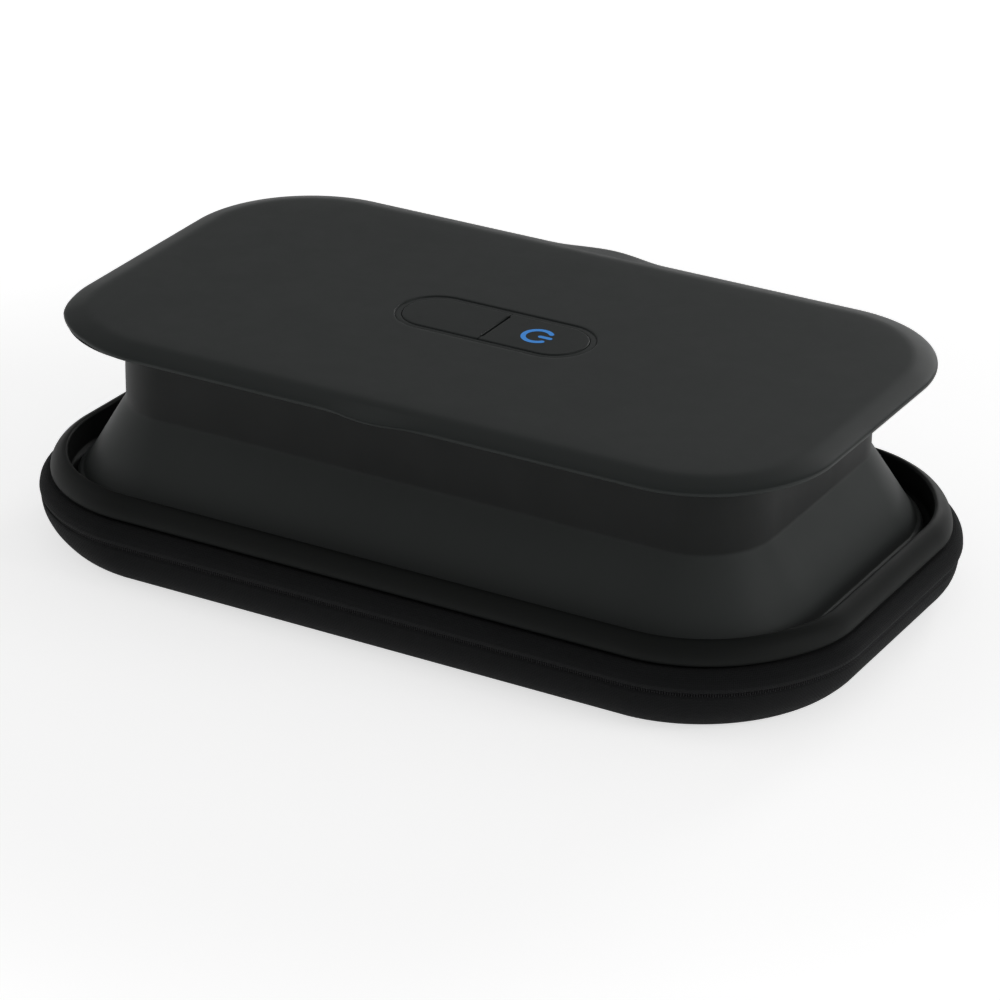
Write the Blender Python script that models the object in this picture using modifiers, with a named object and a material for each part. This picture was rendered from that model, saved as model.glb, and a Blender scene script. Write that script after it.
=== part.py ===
# Pop-up ultraviolet cleaning box for a phone.
# A zipped fabric case has a shallow tray below and a rim frame above. A folding silicone
# wall rises from the frame and carries the lid, which holds the lamps, battery and key.
# Units are metres, +Z is up, +X runs along the box and -Y is its front.
# The origin is the middle of the flat underside.

import math

import bmesh
import bpy
from mathutils import Matrix, Vector

for old in list(bpy.data.objects):
    bpy.data.objects.remove(old, do_unlink=True)

# Plan of the base. Every ring of the box is this rounded rectangle, moved inwards.
BASE_LENGTH = 0.223
BASE_WIDTH = 0.129
BASE_CORNER = 0.040
CORNER_STEPS = 8
CORE_X = BASE_LENGTH / 2 - BASE_CORNER
CORE_Y = BASE_WIDTH / 2 - BASE_CORNER

# Clearances between pieces
GAP = 0.0003
OVERRUN = 0.002
MERGE = 0.00001
ROUND_SIDES = 20

# Tray: a moulded fabric shell and its reflective liner
SEAM_HEIGHT = 0.01135
TRAY_WALL = 0.0026
TRAY_FLOOR = 0.0026
TRAY_ROUND_IN = 0.0070
LINER_WALL = 0.0009
ROUND_STEPS = 5
NECK_GROOVE_IN = 0.0005
NECK_GROOVE_HEIGHT = 0.0011
NECK_GROOVE_SLOPE = 0.0005

# Fabric hinge at the back
HINGE_LENGTH = 0.0660
HINGE_HEIGHT = 0.0085
HINGE_THICK = 0.0006
HINGE_CLEAR = 0.0030
HINGE_PROUD = 0.0040

# Zipper: two rows of coil with their tapes
COIL_PROUD = 0.0004
COIL_DEPTH = 0.0013
COIL_HEIGHT = 0.0009
TAPE_DEPTH = 0.0012
TAPE_THICK = 0.0005
STOP_LENGTH = 0.0022
STOP_PROUD = 0.0010
SLIDER_LENGTH = 0.0090
SLIDER_PLATE = 0.0008
SLIDER_FLANGE = 0.0007
SLIDER_HOOK = 0.0009
BAIL_WIDTH = 0.0014
BAIL_BAR = 0.0007
BAIL_DEPTH = 0.0015
BAIL_TOP = 0.0007
BAIL_BOTTOM = -0.0021
PULL_STRAP = 0.0008
PULL_THICK = 0.0009
PULL_WIDTH = 0.0046
PULL_LENGTH = 0.0094
PULL_EYE_SLACK = 0.0006
PULL_EYE_LENGTH = 0.0020
PULL_BEVEL = 0.0002
GARAGE_RADIUS = 0.0036

# Upper case: fabric side band and smooth rim frame with its trough
BAND_HEIGHT = 0.0043
BAND_WALL = 0.0024
BAND_TAPER = 0.0010
BAND_TUCK = 0.0005
# The band's outer curve above its tucked-in foot, as steps out and shares of its height
BAND_BULGE = ((0.0007, 0.34), (0.0013, 0.52), (0.0011, 0.74), (0.0003, 0.92))
RIM_GROOVE = 0.0006
RIM_SKIRT = 0.0015
TROUGH_FLOOR = 0.0016
TROUGH_LIP = 0.0008
TROUGH_ROUND = 0.0018
RIM_WALL_DRAFT = 0.0002
# The rim's outer curve, as steps inwards from the band's top edge and up from the groove
RIM_CURVE = (
    (0.0004, 0.0), (0.0005, 0.0011), (0.0011, 0.0028), (0.0022, 0.0042),
    (0.0035, 0.0051), (0.0043, 0.0054), (0.0048, 0.0053), (0.0051, 0.0048),
)

# Folding silicone wall: upright neck, flared skirt and foot flange
WALL_THICK = 0.0015
NECK_IN = 0.0214
FOLD_RISE = 0.0220
FOLD_DROP = 0.0008
SKIRT_FOOT_IN = 0.0098
SKIRT_FOOT_RISE = 0.0031
# The bead at the foot, as steps out from the skirt and up from the flange's underside
FOOT_BEAD = ((0.0009, 0.0), (0.0015, 0.0005), (0.0016, 0.0018), (0.0011, 0.0027))
BEAD_CLEAR = 0.0004
FLANGE_THICK = 0.0012
FLANGE_REACH = 0.0027

# Clamp ring that holds the foot flange down in the trough
CLAMP_CLEAR = 0.0006
CLAMP_WIDTH = 0.0024
CLAMP_THICK = 0.0009

# Lid cover: crowned shell with a finger tab at the front and the back
LID_CROWN = 0.0619
LID_WALL = 0.0019
# The cover's outside and inside, as steps in from its rim, drops below its crown, tab shares
LID_OUTER = (
    (0.0140, 0.0, 0.0), (0.0070, 0.00020, 0.0), (0.0037, 0.00048, 0.1), (0.0018, 0.00085, 0.5),
    (0.0007, 0.00128, 0.85), (0.0001, 0.00165, 1.0), (0.0, 0.00190, 1.0), (0.0001, 0.00220, 1.0),
    (0.0002, 0.00225, 0.0), (0.0002, 0.00275, 0.0), (0.0006, 0.00310, 0.0),
)
LID_INNER = (
    (0.0021, 0.00310, 0.0), (0.0021, 0.00240, 0.0), (0.0046, 0.00220, 0.0),
)
TAB_OUT = 0.0026
TAB_HALF = 0.0170
TAB_STEPS = 7

# Lid base, as drops below the lid's crown: plate, slot for the wall, and the pan
PLATE_CLEAR = 0.0004
PLATE_EDGE_DROPS = (0.0027, 0.0035)
PLATE_ROOT_DROPS = (0.0051, 0.0065)
PLATE_LIP = 0.0015
SLOT_TOP_DROP = 0.0047
SLOT_ROOF = 0.0012
PAN_DROP = 0.0140
PAN_WALL = 0.0015
PAN_FLOOR = 0.0015

# Key panel on the lid: a blank badge plate and the power key
PANEL_HALF_LENGTH = 0.0273
PANEL_HALF_WIDTH = 0.0105
PANEL_MOAT = 0.0021
PANEL_MOAT_DEPTH = 0.0004
PANEL_CLEAR = 0.0004
PANEL_STEPS = 8
KEY_SPLIT = 0.0005
KEY_CHAMFER = 0.0004
KEY_PROUD = 0.0002
KEY_FLANGE = 0.0009
KEY_FLANGE_THICK = 0.0008
KEY_FACE = 0.0012
SYMBOL_X = 0.0117
SYMBOL_RADIUS = 0.0044
SYMBOL_STROKE = 0.0014
SYMBOL_GAP_DEG = 43
SYMBOL_BAR_FROM = 0.0002
SYMBOL_BAR_TO = 0.0043
SYMBOL_STEPS = 18
GUIDE_SKIRT = 0.0009
GUIDE_THICK = 0.0007

# Ultraviolet lamp stacks
LAMP_FROM_CORE = 0.0201
WINDOW_RADIUS = 0.0049
WINDOW_RECESS = 0.0003
WINDOW_FLANGE = 0.0013
WINDOW_FLANGE_THICK = 0.0008
REFLECTOR_RADIUS = 0.0070
REFLECTOR_MOUTH = 0.0054
REFLECTOR_THROAT = 0.0027
REFLECTOR_HEIGHT = 0.0027
LAMP_BOARD_RADIUS = 0.0080
EMITTER_CLEAR = 0.0008
EMITTER_BASE = 0.0007
EMITTER_DOME = 0.0012

# Boards, switch and small parts in the lid
BOARD_THICK = 0.0012
BOARD_LIFT = 0.0040
BOARD_LEFT = 0.0100
BOARD_CLEAR = 0.0034
BOARD_SIDE_IN = 0.0045
STANDOFF_RADIUS = 0.0022
STANDOFF_IN = 0.0035
SWITCH_SIZE = 0.0060
SWITCH_X = 0.0195
SWITCH_BORE_FLOOR = 0.0007
PLUNGER_RADIUS = 0.00175
PLUNGER_DEPTH = 0.0009
PLUNGER_REACH = 0.00095
STATUS_LED_SIZE = (0.0035, 0.0028, 0.0019)
TILT_SIZE = (0.0048, 0.0048, 0.0034)
TILT_IN = (0.0090, 0.0060)
CHIP_SIZE = (0.0070, 0.0070, 0.0011)
CHIP_X = 0.0060
CHIP_IN = 0.0080

# Battery pouch and its foam pad
BATTERY_THICK = 0.0060
BATTERY_CLEAR = 0.0030
BATTERY_SIDE_OUT = 0.0035
BATTERY_ROUND = 0.0012
PAD_IN = 0.0030
PAD_THICK = 0.0005

# Charging socket in the pan floor and its small board
PORT_FROM_LAMP = 0.0176
PORT_SIZE = (0.0032, 0.0090, 0.0073)
PORT_SHELL = 0.0003
PORT_CORNER = 0.0012
PORT_TONGUE = (0.0007, 0.0066, 0.0048)
PORT_RECESS = 0.0002
CHARGE_BOARD = (0.0090, 0.0130, 0.0008)

# Leads inside the lid
LEAD_RADIUS = 0.0006
LEAD_REACH = 0.0024
LEAD_LANE = 0.0036
LAMP_LEAD_Y = 0.0045
BATTERY_LEAD_IN = 0.0092

# Lid screws, driven up through the pan into posts of the cover
POST_RADIUS = 0.0026
BOSS_RADIUS = 0.0036
BOSS_RISE = 0.0012
LID_SCREW_RADIUS = 0.0010
LID_SCREW_LENGTH = 0.0060
LID_SCREW_HEAD = 0.0021
LID_SCREW_HEAD_THICK = 0.0010
LID_SCREW_SLOT = (0.0032, 0.0006, 0.0005)
HEAD_RECESS = 0.0015
END_SCREW_IN = 0.0052
END_SCREW_OUT_Y = 0.0015
MID_SCREW_IN = 0.0017
MID_SCREW_X = 0.0030

# Marks drawn on the joints' axes
AXIS_MARK = 0.0050


def collection(name):
    made = bpy.data.collections.new(name)
    bpy.context.scene.collection.children.link(made)
    return made


PARTS = collection("uv_phone_box")
HELPERS = collection("cutters_and_guides")


def material(name, colour, roughness, metallic=0.0, alpha=1.0):
    made = bpy.data.materials.new(name)
    made.use_nodes = True
    shader = made.node_tree.nodes["Principled BSDF"]
    shader.inputs["Base Color"].default_value = (*colour, 1.0)
    shader.inputs["Roughness"].default_value = roughness
    shader.inputs["Metallic"].default_value = metallic
    shader.inputs["Alpha"].default_value = alpha
    made.diffuse_color = (*colour, alpha)
    return made


SOFT_TOUCH = material("soft_touch_plastic", (0.030, 0.033, 0.032), 0.55)
INNER_PLASTIC = material("inner_plastic", (0.045, 0.047, 0.047), 0.5)
SILICONE = material("silicone", (0.032, 0.035, 0.034), 0.6)
CASE_FABRIC = material("case_fabric", (0.011, 0.011, 0.012), 0.9)
RIM_PLASTIC = material("rim_plastic", (0.018, 0.019, 0.019), 0.5)
COIL = material("zipper_coil", (0.020, 0.020, 0.022), 0.45)
ZIPPER_METAL = material("zipper_metal", (0.06, 0.06, 0.065), 0.35, 1.0)
LINER = material("reflective_liner", (0.72, 0.73, 0.75), 0.25, 1.0)
SYMBOL_BLUE = material("symbol_blue", (0.03, 0.22, 0.62), 0.4)
BOARD_GREEN = material("circuit_board", (0.02, 0.12, 0.05), 0.5)
CHIP_BLACK = material("chip_black", (0.02, 0.02, 0.02), 0.6)
CELL_WRAP = material("battery_wrap", (0.55, 0.56, 0.58), 0.35, 1.0)
FOAM = material("foam", (0.05, 0.05, 0.05), 0.95)
LAMP_GLASS = material("lamp_glass", (0.75, 0.72, 0.85), 0.05, 0.0, 0.4)
LAMP_EMITTER = material("lamp_emitter", (0.75, 0.55, 0.95), 0.3)
REFLECTOR = material("reflector", (0.85, 0.85, 0.87), 0.12, 1.0)
STEEL = material("steel", (0.55, 0.55, 0.57), 0.3, 1.0)
LEAD_INSULATION = material("lead_insulation", (0.35, 0.03, 0.03), 0.5)


def finish(obj, paint, smooth_deg=32):
    """Puts an object in the box's collection with its material and smooth shading."""
    for holder in list(obj.users_collection):
        holder.objects.unlink(obj)
    PARTS.objects.link(obj)
    obj.data.materials.clear()
    obj.data.materials.append(paint)
    if obj.type == "MESH":
        obj.data.shade_smooth()
        obj.data.set_sharp_from_angle(angle=math.radians(smooth_deg))
    return obj


def helper(obj):
    """Makes an object a cutter or guide, which isn't part of the model."""
    for holder in list(obj.users_collection):
        holder.objects.unlink(obj)
    HELPERS.objects.link(obj)
    obj.hide_render = True
    obj.display_type = "WIRE"
    return obj


def mesh_object(name, bm):
    bmesh.ops.recalc_face_normals(bm, faces=bm.faces)
    if bm.calc_volume(signed=True) < 0:
        bmesh.ops.reverse_faces(bm, faces=bm.faces)
    mesh = bpy.data.meshes.new(name)
    bm.to_mesh(mesh)
    bm.free()
    made = bpy.data.objects.new(name, mesh)
    bpy.context.scene.collection.objects.link(made)
    return made


def block(name, size, centre, bevel=0.0):
    """A box of full size (x, y, z) about its centre, with rounded edges if asked."""
    bm = bmesh.new()
    bmesh.ops.create_cube(bm, size=1.0)
    bmesh.ops.scale(bm, vec=size, verts=bm.verts)
    bmesh.ops.translate(bm, vec=centre, verts=bm.verts)
    made = mesh_object(name, bm)
    if bevel:
        rounding = made.modifiers.new("rounded_edges", "BEVEL")
        rounding.width = bevel
        rounding.segments = 2
    return made


def rod(name, radius, bottom, top, x, y, sides=ROUND_SIDES):
    """An upright cylinder."""
    bm = bmesh.new()
    place = Matrix.Translation((x, y, (bottom + top) / 2))
    bmesh.ops.create_cone(
        bm, cap_ends=True, segments=sides, radius1=radius, radius2=radius,
        depth=top - bottom, matrix=place,
    )
    return mesh_object(name, bm)


def turned(name, profile, x, y, closed=False, steps=ROUND_SIDES):
    """A profile of (radius, height) pairs, run down its outer side, spun about an upright axis."""
    mesh = bpy.data.meshes.new(name)
    points = [(radius, 0.0, height) for radius, height in profile]
    edges = [(i, i + 1) for i in range(len(points) - 1)]
    if closed:
        edges.append((len(points) - 1, 0))
    mesh.from_pydata(points, edges, [])
    made = bpy.data.objects.new(name, mesh)
    bpy.context.scene.collection.objects.link(made)
    made.location = (x, y, 0.0)
    spin = made.modifiers.new("spin", "SCREW")
    spin.steps = steps
    spin.render_steps = steps
    spin.use_merge_vertices = True
    spin.merge_threshold = MERGE
    return made


def boolean(target, other, operation):
    change = target.modifiers.new(operation.lower(), "BOOLEAN")
    change.operation = operation
    change.solver = "EXACT"
    change.object = helper(other)


def cut(target, other):
    boolean(target, other, "DIFFERENCE")


def join(target, other):
    boolean(target, other, "UNION")


def arc(centre, radii, from_deg, to_deg, steps):
    """Points of an elliptic arc in a (across, up) section."""
    turns = [math.radians(from_deg + (to_deg - from_deg) * i / steps) for i in range(steps + 1)]
    return [(centre[0] + radii[0] * math.cos(t), centre[1] + radii[1] * math.sin(t)) for t in turns]


def radius_at(inset):
    """Corner radius of the ring that lies this far inside the base outline."""
    return BASE_CORNER - inset


def tab_swell(x, share):
    """How far a lid outline stands out at its finger tabs."""
    if abs(x) >= TAB_HALF:
        return 0.0
    return share * TAB_OUT * (1 + math.cos(math.pi * x / TAB_HALF)) / 2


def outline(radius, tab_share=None):
    """Rounded rectangle about the core, anticlockwise. A tab share adds the lid's tabs."""
    points = []
    for quarter, (side_x, side_y) in enumerate(((1, 1), (-1, 1), (-1, -1), (1, -1))):
        centre = (side_x * CORE_X, side_y * CORE_Y)
        start = 90 * quarter
        points += arc(centre, (radius, radius), start, start + 90, CORNER_STEPS)
        if tab_share is not None and side_x == side_y:
            edge = side_y * (CORE_Y + radius)
            for i in range(TAB_STEPS, -TAB_STEPS - 1, -1):
                x = side_x * TAB_HALF * i / TAB_STEPS
                points.append((x, edge + side_y * tab_swell(x, tab_share)))
    return points


def next_loop(bm, verts, points, height):
    """Extrudes a closed loop of edges and moves the new loop to its outline."""
    edges = [bm.edges.get((verts[i - 1], verts[i])) for i in range(len(verts))]
    made = bmesh.ops.extrude_edge_only(bm, edges=edges)["geom"]
    fresh = {item for item in made if isinstance(item, bmesh.types.BMVert)}
    loop = []
    for vert, (x, y) in zip(verts, points):
        above = next(e.other_vert(vert) for e in vert.link_edges if e.other_vert(vert) in fresh)
        above.co = (x, y, height)
        loop.append(above)
    return loop


def stack(name, levels):
    """A closed solid through (outline, height) levels, flat at its first and last level."""
    bm = bmesh.new()
    first, height = levels[0]
    loop = [bm.verts.new((x, y, height)) for x, y in first]
    bottom = [bm.edges.new((loop[i - 1], loop[i])) for i in range(len(loop))]
    for points, height in levels[1:]:
        loop = next_loop(bm, loop, points, height)
    top = [bm.edges.get((loop[i - 1], loop[i])) for i in range(len(loop))]
    bmesh.ops.edgeloop_fill(bm, edges=bottom)
    bmesh.ops.edgeloop_fill(bm, edges=top)
    return mesh_object(name, bm)


def pan(name, levels):
    """A stack of rounded rectangles: levels are (inset, height) or (inset, height, tab share)."""
    return stack(name, [
        (outline(radius_at(inset), *tab), height) for inset, height, *tab in levels
    ])


def base_path(inset, gap_half=0.0, other_half=None):
    """Points round a ring, anticlockwise. With a gap it starts and ends at the back, at
    x = gap_half on the right and -other_half on the left."""
    points = outline(radius_at(inset))
    if not gap_half:
        return points
    left_half = gap_half if other_half is None else other_half
    back = CORE_Y + radius_at(inset)
    per_corner = CORNER_STEPS + 1
    # Clockwise from the right of the gap: rear right, front right, front left, rear left.
    clockwise = points[:per_corner][::-1] + points[per_corner:][::-1]
    return [(gap_half, back)] + clockwise + [(-left_half, back)]


def ring(name, section, gap_half=0.0, other_half=None):
    """Sweeps a closed section of (inset, height) points round the base with a bevel curve."""
    guide = bpy.data.curves.new(name + "_section", "CURVE")
    guide.dimensions = "2D"
    spline = guide.splines.new("POLY")
    spline.points.add(len(section) - 1)
    turn = -1 if gap_half else 1
    for point, (inset, height) in zip(spline.points, section):
        point.co = (turn * (section[0][0] - inset), height, 0.0, 1.0)
    spline.use_cyclic_u = True
    guide_object = helper(bpy.data.objects.new(name + "_section", guide))

    path = bpy.data.curves.new(name, "CURVE")
    path.dimensions = "3D"
    path.twist_mode = "Z_UP"
    route = path.splines.new("POLY")
    points = base_path(section[0][0], gap_half, other_half)
    route.points.add(len(points) - 1)
    for point, (x, y) in zip(route.points, points):
        point.co = (x, y, 0.0, 1.0)
    route.use_cyclic_u = not gap_half
    path.bevel_mode = "OBJECT"
    path.bevel_object = guide_object
    path.use_fill_caps = True
    return as_mesh(name, path)


def as_mesh(name, curve):
    """The curve's solid as a mesh object, with its caps welded on and its faces turned out."""
    source = bpy.data.objects.new(name + "_curve", curve)
    bpy.context.scene.collection.objects.link(source)
    bpy.context.view_layer.update()
    graph = bpy.context.evaluated_depsgraph_get()
    mesh = bpy.data.meshes.new_from_object(source.evaluated_get(graph))
    place = source.matrix_world.copy()
    bpy.data.objects.remove(source)
    bm = bmesh.new()
    bm.from_mesh(mesh)
    bmesh.ops.remove_doubles(bm, verts=bm.verts, dist=MERGE)
    made = mesh_object(name, bm)
    made.matrix_world = place
    return made


def lead(name, points):
    """A thin insulated lead through its points, smoothed between them."""
    curve = bpy.data.curves.new(name, "CURVE")
    curve.dimensions = "3D"
    curve.bevel_depth = LEAD_RADIUS
    curve.bevel_resolution = 1
    curve.use_fill_caps = True
    smooth = smoothed([Vector(p) for p in points])
    spline = curve.splines.new("POLY")
    spline.points.add(len(smooth) - 1)
    for point, place in zip(spline.points, smooth):
        point.co = (*place, 1.0)
    return finish(as_mesh(name, curve), LEAD_INSULATION)


def smoothed(points, steps=4):
    """Points along the smooth curve that passes through the given ones."""
    ends = [2 * points[0] - points[1], *points, 2 * points[-1] - points[-2]]
    made = []
    for a, b, c, d in zip(ends, ends[1:], ends[2:], ends[3:]):
        for i in range(steps):
            t = i / steps
            made.append(
                (2 * b + (c - a) * t + (2 * a - 5 * b + 4 * c - d) * t**2
                 + (3 * b - a - 3 * c + d) * t**3) / 2
            )
    return made + [points[-1]]


def slab(name, points, bottom, top):
    """A flat outline drawn as a filled 2D curve and thickened upwards."""
    curve = bpy.data.curves.new(name, "CURVE")
    curve.dimensions = "2D"
    curve.fill_mode = "BOTH"
    curve.extrude = (top - bottom) / 2
    spline = curve.splines.new("POLY")
    spline.points.add(len(points) - 1)
    for point, (x, y) in zip(spline.points, points):
        point.co = (x, y, 0.0, 1.0)
    spline.use_cyclic_u = True
    made = as_mesh(name, curve)
    made.data.transform(Matrix.Translation((0.0, 0.0, (bottom + top) / 2)))
    return made


def stadium(half_length, half_width):
    """Outline of a slot with round ends along X."""
    run = half_length - half_width
    right = arc((run, 0.0), (half_width, half_width), -90, 90, PANEL_STEPS)
    left = arc((-run, 0.0), (half_width, half_width), 90, 270, PANEL_STEPS)
    return right + left


# Heights and places worked out from the sizes above
COIL_END_X = HINGE_LENGTH / 2 + HINGE_CLEAR
COIL_LOWER_BOTTOM = SEAM_HEIGHT - GAP / 2 - COIL_HEIGHT
COIL_UPPER_BOTTOM = SEAM_HEIGHT + GAP / 2
COIL_IN = COIL_DEPTH - COIL_PROUD
TRAY_TOP = COIL_LOWER_BOTTOM - GAP
TRAY_ROUND_UP = TRAY_TOP - NECK_GROOVE_HEIGHT - NECK_GROOVE_SLOPE
BAND_BOTTOM = COIL_UPPER_BOTTOM + COIL_HEIGHT + GAP
BAND_TOP = BAND_BOTTOM + BAND_HEIGHT
RIM_LIP_BOTTOM = BAND_TOP + RIM_GROOVE
RIM_OUTER = [(BAND_TAPER + step, RIM_LIP_BOTTOM + rise) for step, rise in RIM_CURVE]
RIM_MOUTH_IN = RIM_OUTER[-1][0]
BACK_Y = BASE_WIDTH / 2
HINGE_Y = BACK_Y + GAP + HINGE_THICK / 2

TROUGH_TOP = BAND_BOTTOM + TROUGH_FLOOR
FLANGE_BOTTOM = TROUGH_TOP + GAP
FLANGE_TOP = FLANGE_BOTTOM + FLANGE_THICK
SKIRT_FOOT_HEIGHT = FLANGE_BOTTOM + SKIRT_FOOT_RISE
FOLD_HEIGHT = FLANGE_BOTTOM + FOLD_RISE
SKIRT_RUN = (NECK_IN - SKIRT_FOOT_IN, FOLD_HEIGHT - SKIRT_FOOT_HEIGHT)
SKIRT_LENGTH = math.hypot(*SKIRT_RUN)
SKIRT_INNER_IN = SKIRT_FOOT_IN + WALL_THICK * SKIRT_RUN[1] / SKIRT_LENGTH
SKIRT_INNER_LOW = SKIRT_FOOT_HEIGHT - WALL_THICK * SKIRT_RUN[0] / SKIRT_LENGTH
FLANGE_IN = SKIRT_INNER_IN + FLANGE_REACH
TROUGH_OUTER_IN = SKIRT_FOOT_IN - FOOT_BEAD[2][0] - BEAD_CLEAR
TROUGH_INNER_IN = FLANGE_IN + BEAD_CLEAR + GAP
CLAMP_BOTTOM = FLANGE_TOP + GAP
CLAMP_OUTER_IN = SKIRT_INNER_IN + CLAMP_CLEAR

LID_IN = RIM_MOUTH_IN + GAP
COVER_UNDER = LID_CROWN - LID_WALL
PAN_BOTTOM = LID_CROWN - PAN_DROP
PAN_TOP = PAN_BOTTOM + PAN_FLOOR
PAN_OUTER_IN = NECK_IN + WALL_THICK + GAP
PAN_INNER_IN = PAN_OUTER_IN + PAN_WALL
SLOT_OUTER_IN = NECK_IN - GAP
SLOT_TOP = LID_CROWN - SLOT_TOP_DROP
NECK_TOP = SLOT_TOP - GAP
PLATE_ROOT_IN = SLOT_OUTER_IN - PLATE_LIP
PLATE_EDGE_IN = LID_IN + LID_INNER[0][0] + PLATE_CLEAR
BOARD_HEIGHT = PAN_TOP + BOARD_LIFT
BOARD_TOP = BOARD_HEIGHT + BOARD_THICK
KEY_TOP = LID_CROWN + KEY_PROUD
KEY_LEDGE = COVER_UNDER - GAP
KEY_BOTTOM = KEY_LEDGE - KEY_FLANGE_THICK
SWITCH_BOTTOM = BOARD_TOP + GAP
SWITCH_TOP = KEY_BOTTOM - GAP - PLUNGER_REACH
GUIDE_RADIUS = SYMBOL_RADIUS + GUIDE_SKIRT
OPENING_IN = PANEL_MOAT - PANEL_CLEAR
FLANGE_OUT = KEY_FLANGE - OPENING_IN

LAMP_X = CORE_X - LAMP_FROM_CORE
PORT_X = LAMP_X + PORT_FROM_LAMP
INNER_X = LAMP_X - LAMP_BOARD_RADIUS - BOARD_CLEAR
BOARD_SIZE = (INNER_X + BOARD_LEFT, 2 * (CORE_Y - BOARD_SIDE_IN))
BOARD_CENTRE = ((INNER_X - BOARD_LEFT) / 2, 0.0)
CELL_LEFT = -INNER_X
CELL_RIGHT = -BOARD_LEFT - BATTERY_CLEAR
BATTERY_SIZE = (CELL_RIGHT - CELL_LEFT, 2 * (CORE_Y + BATTERY_SIDE_OUT), BATTERY_THICK)
BATTERY_X = (CELL_LEFT + CELL_RIGHT) / 2
PAD_SIZE = (BATTERY_SIZE[0] - 2 * PAD_IN, BATTERY_SIZE[1] - 2 * PAD_IN, PAD_THICK)
PAD_BOTTOM = PAN_TOP + GAP
CELL_BOTTOM = PAD_BOTTOM + PAD_THICK + GAP

SLIDER_X = COIL_END_X + GAP + STOP_LENGTH + GAP + SLIDER_LENGTH / 2
SLIDER_FACE_Y = BACK_Y + COIL_PROUD + GAP + SLIDER_PLATE
STRAP_Y = SLIDER_FACE_Y + BAIL_DEPTH / 2
STRAP_Z = SEAM_HEIGHT + (BAIL_TOP + BAIL_BOTTOM) / 2
BOSS_TOP = PAN_TOP + BOSS_RISE
SCREW_ZONE = radius_at(PAN_INNER_IN) - BOSS_RADIUS
LID_SCREW_END_X = CORE_X + SCREW_ZONE - END_SCREW_IN
LID_SCREW_END_Y = CORE_Y + END_SCREW_OUT_Y
LID_SCREW_MID_Y = CORE_Y + SCREW_ZONE - MID_SCREW_IN
LID_SCREWS = [
    (-LID_SCREW_END_X, -LID_SCREW_END_Y), (LID_SCREW_END_X, -LID_SCREW_END_Y),
    (-LID_SCREW_END_X, LID_SCREW_END_Y), (LID_SCREW_END_X, LID_SCREW_END_Y),
    (MID_SCREW_X, -LID_SCREW_MID_Y), (MID_SCREW_X, LID_SCREW_MID_Y),
]


def rods(name, radius, bottom, top, places, sides=ROUND_SIDES):
    """Several upright cylinders in one object."""
    bm = bmesh.new()
    for x, y in places:
        place = Matrix.Translation((x, y, (bottom + top) / 2))
        bmesh.ops.create_cone(
            bm, cap_ends=True, segments=sides, radius1=radius, radius2=radius,
            depth=top - bottom, matrix=place,
        )
    return mesh_object(name, bm)


def make_tray():
    """Moulded shell, rounded up from its flat underside, and the thin liner inside it."""
    rise = TRAY_ROUND_UP
    outer = arc((TRAY_ROUND_IN, rise), (-TRAY_ROUND_IN, -rise), 90, 0, ROUND_STEPS)
    groove = [
        (NECK_GROOVE_IN, TRAY_TOP - NECK_GROOVE_HEIGHT), (NECK_GROOVE_IN, TRAY_TOP),
        (TRAY_WALL, TRAY_TOP),
    ]
    across = TRAY_ROUND_IN - TRAY_WALL / 2
    drop = rise - TRAY_FLOOR
    inner = arc((TRAY_WALL + across, rise), (-across, -drop), 0, 90, ROUND_STEPS)
    finish(pan("tray_shell", outer + groove + inner), CASE_FABRIC)

    skin = TRAY_WALL + GAP
    centre = (skin + across, rise)
    below = arc(centre, (-across, GAP - drop), 90, 0, ROUND_STEPS)
    lip = [(skin, TRAY_TOP), (skin + LINER_WALL, TRAY_TOP)]
    above = arc(centre, (LINER_WALL - across, GAP + LINER_WALL - drop), 0, 90, ROUND_STEPS)
    finish(pan("tray_liner", below + lip + above), LINER)


def coil_section(bottom, tape_bottom):
    """Section of one zipper row: the coil, and the tape that runs inwards behind it."""
    top = bottom + COIL_HEIGHT
    tape_top = tape_bottom + TAPE_THICK
    back = COIL_IN + TAPE_DEPTH
    section = [(-COIL_PROUD, bottom), (-COIL_PROUD, top)]
    if tape_bottom > bottom:
        return section + [(back, top), (back, tape_bottom), (COIL_IN, tape_bottom), (COIL_IN, bottom)]
    return section + [(COIL_IN, top), (COIL_IN, tape_top), (back, tape_top), (back, bottom)]


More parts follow.
